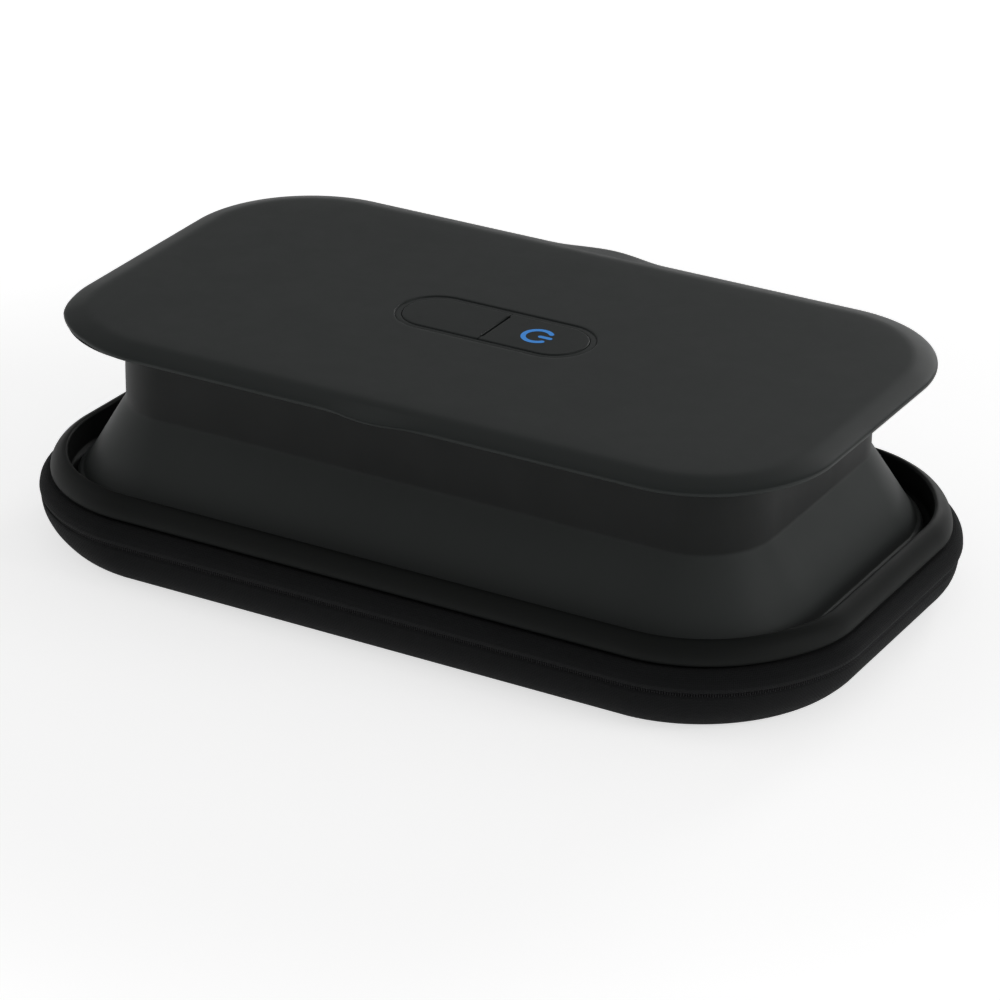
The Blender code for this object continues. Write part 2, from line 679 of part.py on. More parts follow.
def make_zipper():
    """Two rows round the case, their stops, and the slider parked at the hinge."""
    row_start = COIL_END_X + 2 * GAP + STOP_LENGTH
    upper_start = SLIDER_X + SLIDER_LENGTH / 2 + GAP
    lower = coil_section(COIL_LOWER_BOTTOM, COIL_LOWER_BOTTOM)
    finish(ring("zipper_lower", lower, row_start, row_start), COIL)
    upper_tape = COIL_UPPER_BOTTOM + COIL_HEIGHT - TAPE_THICK
    upper = coil_section(COIL_UPPER_BOTTOM, upper_tape)
    finish(ring("zipper_upper", upper, upper_start, row_start), COIL)

    inner_y = BACK_Y - COIL_IN
    outer_y = BACK_Y + STOP_PROUD
    for name, side in (("zipper_stop_right", 1), ("zipper_stop_left", -1)):
        x = side * (COIL_END_X + GAP + STOP_LENGTH / 2)
        stop = block(
            name, (STOP_LENGTH, outer_y - inner_y, COIL_HEIGHT),
            (x, (inner_y + outer_y) / 2, COIL_LOWER_BOTTOM + COIL_HEIGHT / 2),
        )
        finish(stop, ZIPPER_METAL)

    # The slider hooks over both rows from outside: a plate with a flange above and below.
    channel = 2 * COIL_HEIGHT + 3 * GAP
    depth = SLIDER_PLATE + SLIDER_HOOK
    slider = block(
        "zipper_slider", (SLIDER_LENGTH, depth, channel + 2 * SLIDER_FLANGE),
        (SLIDER_X, SLIDER_FACE_Y - depth / 2, SEAM_HEIGHT),
    )
    cut(slider, block(
        "slider_channel", (SLIDER_LENGTH + OVERRUN, SLIDER_HOOK + OVERRUN, channel),
        (SLIDER_X, SLIDER_FACE_Y - SLIDER_PLATE - (SLIDER_HOOK + OVERRUN) / 2, SEAM_HEIGHT),
    ))
    tall = BAIL_TOP - BAIL_BOTTOM
    out = BAIL_DEPTH + BAIL_BAR
    join(slider, block(
        "slider_bail", (BAIL_WIDTH, out + SLIDER_PLATE / 2, tall),
        (SLIDER_X, SLIDER_FACE_Y + (out - SLIDER_PLATE / 2) / 2, STRAP_Z),
    ))
    cut(slider, block(
        "bail_opening", (BAIL_WIDTH + OVERRUN, BAIL_DEPTH, tall - 2 * BAIL_BAR),
        (SLIDER_X, STRAP_Y, STRAP_Z),
    ))
    finish(slider, ZIPPER_METAL)

    # The pull's own origin is on its strap, which turns inside the bail.
    top = PULL_STRAP / 2
    pull = block(
        "zipper_pull", (PULL_WIDTH, PULL_THICK, PULL_LENGTH + top),
        (0.0, 0.0, (top - PULL_LENGTH) / 2), PULL_BEVEL,
    )
    pull.location = (SLIDER_X, STRAP_Y, STRAP_Z)
    eye = block(
        "pull_eye", (BAIL_WIDTH + PULL_EYE_SLACK, PULL_THICK + OVERRUN, PULL_EYE_LENGTH),
        (SLIDER_X, STRAP_Y, STRAP_Z - top - PULL_EYE_LENGTH / 2),
    )
    cut(pull, eye)
    finish(pull, ZIPPER_METAL)

    tape = block(
        "hinge_tape", (HINGE_LENGTH, HINGE_THICK, HINGE_HEIGHT), (0.0, HINGE_Y, SEAM_HEIGHT),
    )
    finish(tape, CASE_FABRIC)


def make_upper_case():
    """Fabric band, smooth rim frame with the trough, silicone wall and its clamp ring."""
    # The foot stays in and clear of the slider, which runs under the bulge.
    foot = [(BAND_TUCK, BAND_BOTTOM), (BAND_TUCK, BAND_BOTTOM + SLIDER_FLANGE + GAP)]
    curve = [(-out, BAND_BOTTOM + BAND_HEIGHT * share) for out, share in BAND_BULGE]
    band = ring("side_band", [
        *foot, *curve, (BAND_TAPER, BAND_TOP), (BAND_WALL + GAP, BAND_TOP),
        (BAND_WALL + GAP, BAND_BOTTOM),
    ])
    tape_top = HINGE_HEIGHT / 2 + SEAM_HEIGHT + GAP
    cut(band, block(
        "tape_pocket", (HINGE_LENGTH + 2 * GAP, HINGE_PROUD, 2 * (tape_top - SEAM_HEIGHT)),
        (0.0, BACK_Y + HINGE_PROUD / 2, SEAM_HEIGHT),
    ))
    garage = rod(
        "slider_garage", GARAGE_RADIUS, -SLIDER_LENGTH / 2 - GAP, SLIDER_LENGTH / 2 + GAP,
        0.0, 0.0,
    )
    garage.data.transform(Matrix.Rotation(math.radians(90), 4, "Y"))
    garage.location = (SLIDER_X, HINGE_Y, SEAM_HEIGHT)
    cut(band, garage)
    finish(band, CASE_FABRIC)

    skirt_in = BAND_WALL + 2 * GAP
    slot_in = skirt_in + RIM_SKIRT
    wall_low = TROUGH_TOP + TROUGH_ROUND
    lip_in = TROUGH_INNER_IN + RIM_SKIRT
    frame_section = [(skirt_in, BAND_BOTTOM), (skirt_in, RIM_LIP_BOTTOM), *RIM_OUTER]
    frame_section += [
        (RIM_MOUTH_IN + RIM_WALL_DRAFT, wall_low), (TROUGH_OUTER_IN, TROUGH_TOP),
        (TROUGH_INNER_IN, TROUGH_TOP), (TROUGH_INNER_IN, TROUGH_TOP + TROUGH_LIP),
        (lip_in, TROUGH_TOP + TROUGH_LIP), (lip_in, BAND_BOTTOM),
        (slot_in + GAP, BAND_BOTTOM), (slot_in + GAP, wall_low),
        (slot_in, wall_low), (slot_in, BAND_BOTTOM),
    ]
    finish(ring("rim_frame", frame_section), RIM_PLASTIC)

    inner_in = NECK_IN + WALL_THICK
    wall = [(SKIRT_FOOT_IN - out, FLANGE_BOTTOM + rise) for out, rise in FOOT_BEAD]
    wall += [(SKIRT_FOOT_IN, SKIRT_FOOT_HEIGHT), (NECK_IN, FOLD_HEIGHT), (NECK_IN, NECK_TOP)]
    wall += [(inner_in, NECK_TOP), (inner_in, FOLD_HEIGHT - FOLD_DROP)]
    wall += [(SKIRT_INNER_IN, SKIRT_INNER_LOW), (SKIRT_INNER_IN, FLANGE_TOP)]
    wall += [(FLANGE_IN, FLANGE_TOP), (FLANGE_IN, FLANGE_BOTTOM)]
    finish(ring("silicone_wall", wall), SILICONE)

    clamp = [
        (CLAMP_OUTER_IN, CLAMP_BOTTOM), (CLAMP_OUTER_IN, CLAMP_BOTTOM + CLAMP_THICK),
        (CLAMP_OUTER_IN + CLAMP_WIDTH, CLAMP_BOTTOM + CLAMP_THICK),
        (CLAMP_OUTER_IN + CLAMP_WIDTH, CLAMP_BOTTOM),
    ]
    finish(ring("clamp_ring", clamp), INNER_PLASTIC)


def make_lid():
    """Cover with the panel opening and screw posts, and the base with its pan."""
    middle = (LID_OUTER[0][0], LID_WALL, 0.0)
    cover = pan("lid_cover", [
        (LID_IN + step, LID_CROWN - drop, share)
        for step, drop, share in (*LID_OUTER, *LID_INNER, middle)
    ])
    join(cover, rods("cover_posts", POST_RADIUS, BOSS_TOP + GAP, KEY_TOP - LID_WALL, LID_SCREWS))
    cut(cover, rods(
        "cover_post_bores", LID_SCREW_RADIUS + GAP, PAN_BOTTOM,
        PAN_BOTTOM + LID_SCREW_LENGTH + LID_SCREW_HEAD_THICK + 2 * GAP, LID_SCREWS,
    ))
    moat = stadium(PANEL_HALF_LENGTH, PANEL_HALF_WIDTH)
    cut(cover, slab("panel_moat", moat, LID_CROWN - PANEL_MOAT_DEPTH, KEY_TOP + OVERRUN))
    opening = stadium(PANEL_HALF_LENGTH - OPENING_IN, PANEL_HALF_WIDTH - OPENING_IN)
    cut(cover, slab("panel_opening", opening, KEY_BOTTOM, KEY_TOP + OVERRUN))
    finish(cover, SOFT_TOUCH)

    root_high, root_low = (LID_CROWN - drop for drop in PLATE_ROOT_DROPS)
    edge_high, edge_low = (LID_CROWN - drop for drop in PLATE_EDGE_DROPS)
    roof = SLOT_TOP + SLOT_ROOF
    base = pan("lid_base", [
        (PAN_OUTER_IN, PAN_BOTTOM), (PAN_OUTER_IN, SLOT_TOP), (SLOT_OUTER_IN, SLOT_TOP),
        (SLOT_OUTER_IN, root_low), (PLATE_ROOT_IN, root_low), (PLATE_EDGE_IN, edge_low),
        (PLATE_EDGE_IN, edge_high), (PLATE_ROOT_IN, root_high), (PLATE_ROOT_IN, roof),
        (PAN_INNER_IN, roof), (PAN_INNER_IN, PAN_TOP),
    ])
    join(base, rods("pan_bosses", BOSS_RADIUS, PAN_BOTTOM + PAN_FLOOR / 2, BOSS_TOP, LID_SCREWS))
    half_x = BOARD_SIZE[0] / 2 - STANDOFF_IN
    half_y = BOARD_SIZE[1] / 2 - STANDOFF_IN
    corners = [
        (BOARD_CENTRE[0] + a * half_x, BOARD_CENTRE[1] + b * half_y)
        for a, b in ((-1, -1), (1, -1), (-1, 1), (1, 1))
    ]
    join(base, rods(
        "board_standoffs", STANDOFF_RADIUS, PAN_BOTTOM + PAN_FLOOR / 2, BOARD_HEIGHT - GAP,
        corners,
    ))
    cut(base, rods(
        "screw_bores", LID_SCREW_RADIUS + GAP, PAN_BOTTOM - OVERRUN, BOSS_TOP + OVERRUN,
        LID_SCREWS,
    ))
    cut(base, rods(
        "screw_head_recesses", LID_SCREW_HEAD + GAP, PAN_BOTTOM - OVERRUN,
        PAN_BOTTOM + HEAD_RECESS, LID_SCREWS,
    ))
    cut(base, rods(
        "window_bores", WINDOW_RADIUS + GAP, PAN_BOTTOM - OVERRUN, PAN_TOP + OVERRUN,
        [(-LAMP_X, 0.0), (LAMP_X, 0.0)],
    ))
    port = [side + 2 * GAP for side in PORT_SIZE]
    cut(base, slab(
        "port_opening", rounded_box(port[0] / 2, port[1] / 2, PORT_CORNER + GAP, PORT_X),
        PAN_BOTTOM - OVERRUN, PAN_TOP + OVERRUN,
    ))
    finish(base, INNER_PLASTIC)

    head_bottom = PAN_BOTTOM + HEAD_RECESS - LID_SCREW_HEAD_THICK - GAP
    head_top = head_bottom + LID_SCREW_HEAD_THICK
    profile = [
        (0.0, head_top + LID_SCREW_LENGTH), (LID_SCREW_RADIUS, head_top + LID_SCREW_LENGTH),
        (LID_SCREW_RADIUS, head_top), (LID_SCREW_HEAD, head_top),
        (LID_SCREW_HEAD, head_bottom), (0.0, head_bottom),
    ]
    for number, (x, y) in enumerate(LID_SCREWS, start=1):
        screw = turned("lid_screw_" + str(number), profile, x, y, steps=12)
        slot = block("screw_slot_" + str(number), LID_SCREW_SLOT, (x, y, head_bottom))
        cut(screw, slot)
        finish(screw, STEEL)


def rounded_box(half_x, half_y, corner, centre_x=0.0):
    """Outline of a small rounded rectangle, anticlockwise."""
    points = []
    for quarter, (side_x, side_y) in enumerate(((1, 1), (-1, 1), (-1, -1), (1, -1))):
        centre = (centre_x + side_x * (half_x - corner), side_y * (half_y - corner))
        points += arc(centre, (corner, corner), 90 * quarter, 90 * quarter + 90, 3)
    return points


def half_stadium(half_length, half_width, inner_edge, side):
    """One half of the panel outline, cut off at the divider, on the side asked for."""
    run = half_length - half_width
    points = arc((run, 0.0), (half_width, half_width), -90, 90, PANEL_STEPS)
    points = [(inner_edge, -half_width), *points, (inner_edge, half_width)]
    if side < 0:
        points = [(-x, y) for x, y in reversed(points)]
    return points


def panel_half(name, side):
    """A panel half: a chamfered face on a wider flange that stays below the cover."""
    edge = KEY_SPLIT / 2
    flange = half_stadium(
        PANEL_HALF_LENGTH + FLANGE_OUT, PANEL_HALF_WIDTH + FLANGE_OUT, edge, side,
    )
    body = half_stadium(
        PANEL_HALF_LENGTH - PANEL_MOAT, PANEL_HALF_WIDTH - PANEL_MOAT, edge + GAP / 2, side,
    )
    face = half_stadium(
        PANEL_HALF_LENGTH - PANEL_MOAT - KEY_CHAMFER, PANEL_HALF_WIDTH - PANEL_MOAT - KEY_CHAMFER,
        edge + GAP / 2 + KEY_CHAMFER / 2, side,
    )
    levels = [
        (flange, KEY_BOTTOM), (flange, KEY_LEDGE), (body, KEY_LEDGE),
        (body, KEY_TOP - KEY_CHAMFER), (face, KEY_TOP),
    ]
    return stack(name, levels)


def symbol_arc(grow):
    """Outline of the power symbol's open ring, whose opening faces +X."""
    outer = SYMBOL_RADIUS + grow
    inner = SYMBOL_RADIUS - SYMBOL_STROKE - grow
    spread = math.degrees(grow / SYMBOL_RADIUS)
    start = SYMBOL_GAP_DEG - spread
    centre = (SYMBOL_X, 0.0)
    there = arc(centre, (outer, outer), start, 360 - start, SYMBOL_STEPS)
    back = arc(centre, (inner, inner), 360 - start, start, SYMBOL_STEPS)
    return there + back


def symbol_bar(grow):
    low = SYMBOL_X + SYMBOL_BAR_FROM - grow
    high = SYMBOL_X + SYMBOL_BAR_TO + grow
    half = SYMBOL_STROKE / 2 + grow
    return [(low, -half), (high, -half), (high, half), (low, half)]


def make_panel():
    """Badge plate, power key with its symbol, and the plunger under the key."""
    finish(panel_half("badge_plate", -1), SOFT_TOUCH)

    key = panel_half("power_key", 1)
    face_under = KEY_TOP - KEY_FACE
    cavity = rod(
        "guide_cavity", GUIDE_RADIUS + GAP, KEY_BOTTOM - OVERRUN, face_under, SYMBOL_X, 0.0, 28,
    )
    cut(key, cavity)
    slot_low = KEY_BOTTOM - OVERRUN
    cut(key, slab("ring_slot", symbol_arc(GAP), slot_low, KEY_TOP + OVERRUN))
    cut(key, slab("bar_slot", symbol_bar(GAP), slot_low, KEY_TOP + OVERRUN))
    finish(key, SOFT_TOUCH)

    disc_top = face_under - GAP
    guide = rod(
        "power_light_guide", GUIDE_RADIUS, disc_top - GUIDE_THICK, disc_top, SYMBOL_X, 0.0, 28,
    )
    root = disc_top - GUIDE_THICK / 2
    join(guide, slab("ring_raise", symbol_arc(0.0), root, KEY_TOP))
    join(guide, slab("bar_raise", symbol_bar(0.0), root, KEY_TOP))
    finish(guide, SYMBOL_BLUE)

    switch = block(
        "tact_switch", (SWITCH_SIZE, SWITCH_SIZE, SWITCH_TOP - SWITCH_BOTTOM),
        (SWITCH_X, 0.0, (SWITCH_BOTTOM + SWITCH_TOP) / 2),
    )
    cut(switch, rod(
        "switch_bore", PLUNGER_RADIUS + GAP, SWITCH_BOTTOM + SWITCH_BORE_FLOOR,
        SWITCH_TOP + OVERRUN, SWITCH_X, 0.0, 16,
    ))
    finish(switch, CHIP_BLACK)
    plunger = rod(
        "switch_plunger", PLUNGER_RADIUS, SWITCH_TOP - PLUNGER_DEPTH, KEY_BOTTOM - GAP,
        SWITCH_X, 0.0, 16,
    )
    finish(plunger, CHIP_BLACK)


def on_board(name, size, place, paint):
    centre = (place[0], place[1], BOARD_TOP + GAP + size[2] / 2)
    return finish(block(name, size, centre), paint)


def make_electronics():
    """Main board with its parts, battery, charging socket and leads."""
    board = block(
        "main_board", (*BOARD_SIZE, BOARD_THICK), (*BOARD_CENTRE, BOARD_HEIGHT + BOARD_THICK / 2),
    )
    finish(board, BOARD_GREEN)
    on_board("status_led", STATUS_LED_SIZE, (SYMBOL_X, 0.0), LAMP_EMITTER)
    half_y = BOARD_SIZE[1] / 2
    tilt_place = (TILT_IN[0] - BOARD_LEFT, half_y - TILT_IN[1])
    on_board("tilt_switch", TILT_SIZE, tilt_place, CHIP_BLACK)
    on_board("control_chip", CHIP_SIZE, (CHIP_X, CHIP_IN - half_y), CHIP_BLACK)

    pad = block("battery_pad", PAD_SIZE, (BATTERY_X, 0.0, PAD_BOTTOM + PAD_THICK / 2))
    finish(pad, FOAM)
    cell = block(
        "battery_cell", BATTERY_SIZE, (BATTERY_X, 0.0, CELL_BOTTOM + BATTERY_THICK / 2),
        BATTERY_ROUND,
    )
    finish(cell, CELL_WRAP)

    port_low = PAN_BOTTOM + PORT_RECESS
    port_high = port_low + PORT_SIZE[2]
    half_x = PORT_SIZE[0] / 2
    half_y = PORT_SIZE[1] / 2
    shell = slab(
        "usb_port", rounded_box(half_x, half_y, PORT_CORNER, PORT_X), port_low, port_high,
    )
    mouth = rounded_box(
        half_x - PORT_SHELL, half_y - PORT_SHELL, PORT_CORNER - PORT_SHELL, PORT_X,
    )
    back = port_high - 2 * PORT_SHELL
    cut(shell, slab("port_mouth", mouth, port_low - OVERRUN, back))
    tongue = block(
        "port_tongue", (PORT_TONGUE[0], PORT_TONGUE[1], PORT_TONGUE[2] + PORT_SHELL),
        (PORT_X, 0.0, back + (PORT_SHELL - PORT_TONGUE[2]) / 2),
    )
    join(shell, tongue)
    finish(shell, STEEL)
    charge = block(
        "charge_board", CHARGE_BOARD, (PORT_X, 0.0, port_high + GAP + CHARGE_BOARD[2] / 2),
    )
    finish(charge, BOARD_GREEN)


def make_lamp(side, word):
    """One lamp: window in the pan floor, reflector cup, emitter and its round board."""
    x = side * LAMP_X
    low = PAN_BOTTOM + WINDOW_RECESS
    flange_low = PAN_TOP + GAP
    flange_high = flange_low + WINDOW_FLANGE_THICK
    window = turned("lamp_window_" + word, [
        (0.0, flange_high), (WINDOW_RADIUS + WINDOW_FLANGE, flange_high),
        (WINDOW_RADIUS + WINDOW_FLANGE, flange_low), (WINDOW_RADIUS, flange_low),
        (WINDOW_RADIUS, low), (0.0, low),
    ], x, 0.0)
    finish(window, LAMP_GLASS)

    cup_low = flange_high + GAP
    cup_high = cup_low + REFLECTOR_HEIGHT
    cup = turned("reflector_" + word, [
        (REFLECTOR_RADIUS, cup_high), (REFLECTOR_RADIUS, cup_low), (REFLECTOR_MOUTH, cup_low),
        (REFLECTOR_THROAT, cup_high),
    ], x, 0.0, closed=True)
    finish(cup, REFLECTOR)

    board_low = cup_high + GAP
    board_high = board_low + BOARD_THICK
    finish(rod(
        "lamp_board_" + word, LAMP_BOARD_RADIUS, board_low, board_high, x, 0.0, 28,
    ), BOARD_GREEN)

    emitter_top = board_low - GAP
    shoulder = emitter_top - EMITTER_BASE
    emitter_radius = REFLECTOR_THROAT - EMITTER_CLEAR
    dome = arc((0.0, shoulder), (emitter_radius, -EMITTER_DOME), 0, 90, 4)
    finish(turned(
        "lamp_emitter_" + word, [(0.0, emitter_top), (emitter_radius, emitter_top), *dome],
        x, 0.0,
    ), LAMP_EMITTER)
    return board_high


def make_leads(lamp_board_top):
    """Four leads: battery, both lamps and the charging board, to the main board."""
    on_main = BOARD_TOP + GAP + LEAD_RADIUS
    on_lamp = lamp_board_top + GAP + LEAD_RADIUS
    over_cell = CELL_BOTTOM + BATTERY_THICK + LEAD_RADIUS + 2 * GAP
    reach = LEAD_REACH
    lane = LEAD_LANE
    cell_lane = BOARD_SIZE[1] / 2 - BATTERY_LEAD_IN
    lead("battery_lead", [
        (CELL_RIGHT + 2 * GAP, cell_lane, on_main - reach / 2),
        (CELL_RIGHT + reach, cell_lane, on_main + reach / 4),
        (reach - BOARD_LEFT, cell_lane, on_main + GAP),
        (2 * reach - BOARD_LEFT, cell_lane, on_main),
    ])
    lamp_edge = LAMP_X - LAMP_BOARD_RADIUS
    lead("lamp_lead_right", [
        (lamp_edge + reach, LAMP_LEAD_Y, on_lamp),
        (lamp_edge - reach / 2, LAMP_LEAD_Y, on_lamp + GAP),
        (INNER_X - reach, LAMP_LEAD_Y, on_main),
        (INNER_X - 2 * reach, LAMP_LEAD_Y, on_main),
    ])
    lead("lamp_lead_left", [
        (-lamp_edge - reach, lane, on_lamp),
        (CELL_LEFT - reach / 2, lane, on_lamp + GAP * 2),
        (CELL_LEFT + reach, lane, over_cell),
        (BATTERY_X, lane, over_cell),
        (CELL_RIGHT - reach, lane, over_cell),
        (-BOARD_LEFT, lane, on_main + GAP * 2),
        (2 * reach - BOARD_LEFT, lane, on_main),
    ])
    port_top = PAN_BOTTOM + PORT_RECESS + PORT_SIZE[2] + GAP + CHARGE_BOARD[2]
    around = LAMP_BOARD_RADIUS + reach
    lead("charge_lead", [
        (PORT_X - reach / 2, -lane, port_top + GAP + LEAD_RADIUS),
        (PORT_X - 3 * reach, -around, port_top + LEAD_RADIUS),
        (LAMP_X, -around, on_main),
        (INNER_X + reach, -around, on_main),
        (INNER_X - reach, -around, on_main),
    ])


def hang(name, place, members, parent=None):
    """Hangs pieces on an empty placed on their joint's axis, leaving them where they are."""
    axis = bpy.data.objects.new(name, None)
    PARTS.objects.link(axis)
    axis.empty_display_size = AXIS_MARK
    axis.location = place
    bpy.context.view_layer.update()
    for obj in (PARTS.objects[member] for member in members):
        obj.parent = axis
        obj.matrix_parent_inverse = axis.matrix_world.inverted()
    if parent:
        axis.parent = parent
        axis.matrix_parent_inverse = parent.matrix_world.inverted()
    return axis


def hang_moving_pieces():
    screws = ["lid_screw_" + str(count) for count in range(1, len(LID_SCREWS) + 1)]
    lamps = [
        piece + word for piece in ("lamp_window_", "reflector_", "lamp_board_", "lamp_emitter_")
        for word in ("right", "left")
    ]
    case_axis = hang("case_hinge_axis", (0.0, HINGE_Y, SEAM_HEIGHT), [
        "hinge_tape", "side_band", "rim_frame", "zipper_upper", "silicone_wall", "clamp_ring",
    ])
    lid_axis = hang("lid_slide_axis", (0.0, 0.0, PAN_BOTTOM), [
        "lid_cover", "lid_base", "badge_plate", "tact_switch", "main_board", "status_led",
        "tilt_switch", "control_chip", "battery_pad", "battery_cell", "usb_port", "charge_board",
        "battery_lead", "lamp_lead_right", "lamp_lead_left", "charge_lead", *screws, *lamps,
    ], case_axis)
    hang("key_press_axis", (PANEL_HALF_LENGTH / 2, 0.0, KEY_TOP), [
        "power_key", "power_light_guide", "switch_plunger",
    ], lid_axis)
    slider_axis = hang("slider_run_axis", (SLIDER_X, BACK_Y, SEAM_HEIGHT), ["zipper_slider"])
    hang("pull_swing_axis", (SLIDER_X, STRAP_Y, STRAP_Z), ["zipper_pull"], slider_axis)


make_tray()
make_zipper()
make_upper_case()
make_lid()
make_panel()
make_electronics()
top_of_lamp_board = 0.0
for lamp_side, lamp_word in ((1, "right"), (-1, "left")):
    top_of_lamp_board = make_lamp(lamp_side, lamp_word)
make_leads(top_of_lamp_board)
bpy.context.view_layer.update()
hang_moving_pieces()
bpy.context.view_layer.update()
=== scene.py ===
import math

import bmesh
import bpy
import numpy as np
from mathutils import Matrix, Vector


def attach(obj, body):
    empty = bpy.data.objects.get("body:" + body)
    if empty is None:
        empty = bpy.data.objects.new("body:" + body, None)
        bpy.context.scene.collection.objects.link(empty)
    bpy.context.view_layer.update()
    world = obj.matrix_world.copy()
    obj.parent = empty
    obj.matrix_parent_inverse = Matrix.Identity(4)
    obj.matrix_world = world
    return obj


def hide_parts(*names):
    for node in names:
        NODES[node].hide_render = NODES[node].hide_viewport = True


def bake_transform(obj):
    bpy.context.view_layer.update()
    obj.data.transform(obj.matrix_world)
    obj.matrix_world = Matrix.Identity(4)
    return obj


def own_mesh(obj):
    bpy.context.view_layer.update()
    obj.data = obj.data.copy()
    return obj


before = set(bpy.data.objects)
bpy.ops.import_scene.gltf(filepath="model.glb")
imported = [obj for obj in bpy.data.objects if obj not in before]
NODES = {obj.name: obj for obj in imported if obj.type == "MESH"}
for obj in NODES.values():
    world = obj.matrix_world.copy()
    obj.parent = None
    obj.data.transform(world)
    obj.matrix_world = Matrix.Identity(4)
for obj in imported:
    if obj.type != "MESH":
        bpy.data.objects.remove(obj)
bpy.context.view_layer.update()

MM = 0.001

# Lengths are in millimetres, apart from those of the neck's shade, the stage, the lamps and
# the camera, which are in metres.
# The case's outline is a rounded rectangle: the centres of its corners, and the radius of its
# widest line. Most pieces are a section swept round it. A section's points are inset and
# height, that is how far inside that line and how far above the floor, and where a section is
# rounded, a third number is the radius at that point.
CORE_X = 71.5
CORE_Y = 24.5
FULL = 40.0
SEAM = 11.35
# The inset at which the swept floors end and their flat middles begin
MIDDLE = 39.0
# The tray's thickness, and the radius of its bend from the floor to the wall
WALL = 2.6
BEND = 7.0

# Columns of a track: core x and y, outward x and y, and the length run
CX, CY, NX, NY, RUN = range(5)
# An outward direction nearer to Y than this belongs to a straight long side
STRAIGHT = 0.999

# Where the fabric's swell begins, from the middle of the back, and the lengths over which it
# grows to its full size
BELLY_START = 68.0
BELLY_GROWTH_LEFT = 66.0
BELLY_GROWTH_RIGHT = 46.0
SEAM_SWELL = 0.6
# How sharply the right end's bow keeps to the middle of that end
BOW_POWER = 11
# How far the rim's inner edge may move inwards before it would meet the lowered lid
RIM_ROOM = 0.8

# The notch in the side that the slider is parked in, and the tracks' ends at both sides of
# the hinge
NOTCH_FROM, NOTCH_TO = 38.355, 48.245
NOTCH_SIDES = (38.35, 38.36, 48.24, 48.25)
NOTCH_TOP = 15.0
SIDE_FOOT, SIDE_TOP = 11.7, 17.0
ROW_END = 38.8
UPPER_ROW_START = 48.3

# The hinge tape: half its length, and the depths of its face, middle and back, and of its
# two long edges, which are sewn down
TAPE_HALF = 32.95
TAPE_FACE = 65.42
TAPE_MIDDLE = 65.12
TAPE_BACK = 64.85
TAPE_SEWN = 64.38
# The side is flat behind the tape up to one place and reaches its swell at another, with rows
# of points between them
FLAT_TO, FLAT_DEPTH = 33.3, 64.52
SWELL_FROM, SWELL_DEPTH = 35.0, 65.92
FLAT_EASE = (33.5, 34.1, 34.9)
STITCH_DEPTH = 65.5
STITCH_PITCH = 2.6
STITCH_R = 0.5

# Zipper teeth: the place that both rows are counted from, and each tooth's rise from the
# edge of its tape with its half width there
TOOTH_PITCH = 1.24
TOOTH_START = 49.2
TOOTH_INSET = 0.72
TOOTH_SIDES = 8
TOOTH_RINGS = ((-0.62, 0.10), (-0.50, 0.19), (-0.10, 0.20), (0.12, 0.25), (0.30, 0.26),
               (0.42, 0.17), (0.47, 0.05))
SLIDER_X = 43.3
SLIDER_Z = 9.3

# The lid: its crown, its finger tabs, and the pill-shaped panel with the hollow round it
CROWN = 61.9
LIP_TOP = 59.9
TAB_OUT = 2.6
TAB_HALF = 17.0
TAB_LIFT = 0.5
PILL_HALF = 25.6
PILL_R = 8.8
HOLLOW = 1.7
KEY_GAP = 0.14
FLANGE_OUT = 0.8
SIGN_X = 12.0

# Heights between which a painted shade darkens the silicone's colour from the skirt to the
# neck, under the lid's overhang, in metres, and the share of its colour that the neck keeps
NECK_FOOT, NECK_TOP = 0.0360, 0.0372
NECK_PAINTED_SHADE_SHARE = 0.30

# The floor's half size, and how far it lies below the object
FLOOR_HALF = 6.0
FLOOR_DROP = 0.0002
# How bright the floor looks near the object, and the distances over which it turns white
FLOOR_NEAR = 0.66
FLOOR_FADE = (0.16, 0.42)
# The surround's light, and the height of a direction over which reflections lose its white
WORLD_LEVEL = 0.26
WORLD_FADE = (0.08, 0.30)
# Each lamp's name, place, aim, size and power
LAMPS = (
    ("back_light", (0.05, 1.0, 0.35), (0.05, 0, 0.03), (0.30, 0.20), 1.7),
    ("right_light", (1.0, 0.1, 0.42), (0.05, 0, 0.03), (0.45, 0.35), 1.8),
    ("left_light", (-1.1, -0.3, 0.6), (0, 0, 0.03), (0.7, 0.5), 0.9),
)
# The camera: lens and sensor in millimetres, then its place, aim and shift to the side
LENS = 159.25
SENSOR = 36.0
CAMERA_PLACE = (0.5029, -0.8628, 0.5002)
CAMERA_AIM = (0.00858, -0.01342, 0.0220)
CAMERA_SIDESTEP = 0.0005


# Outline and sections

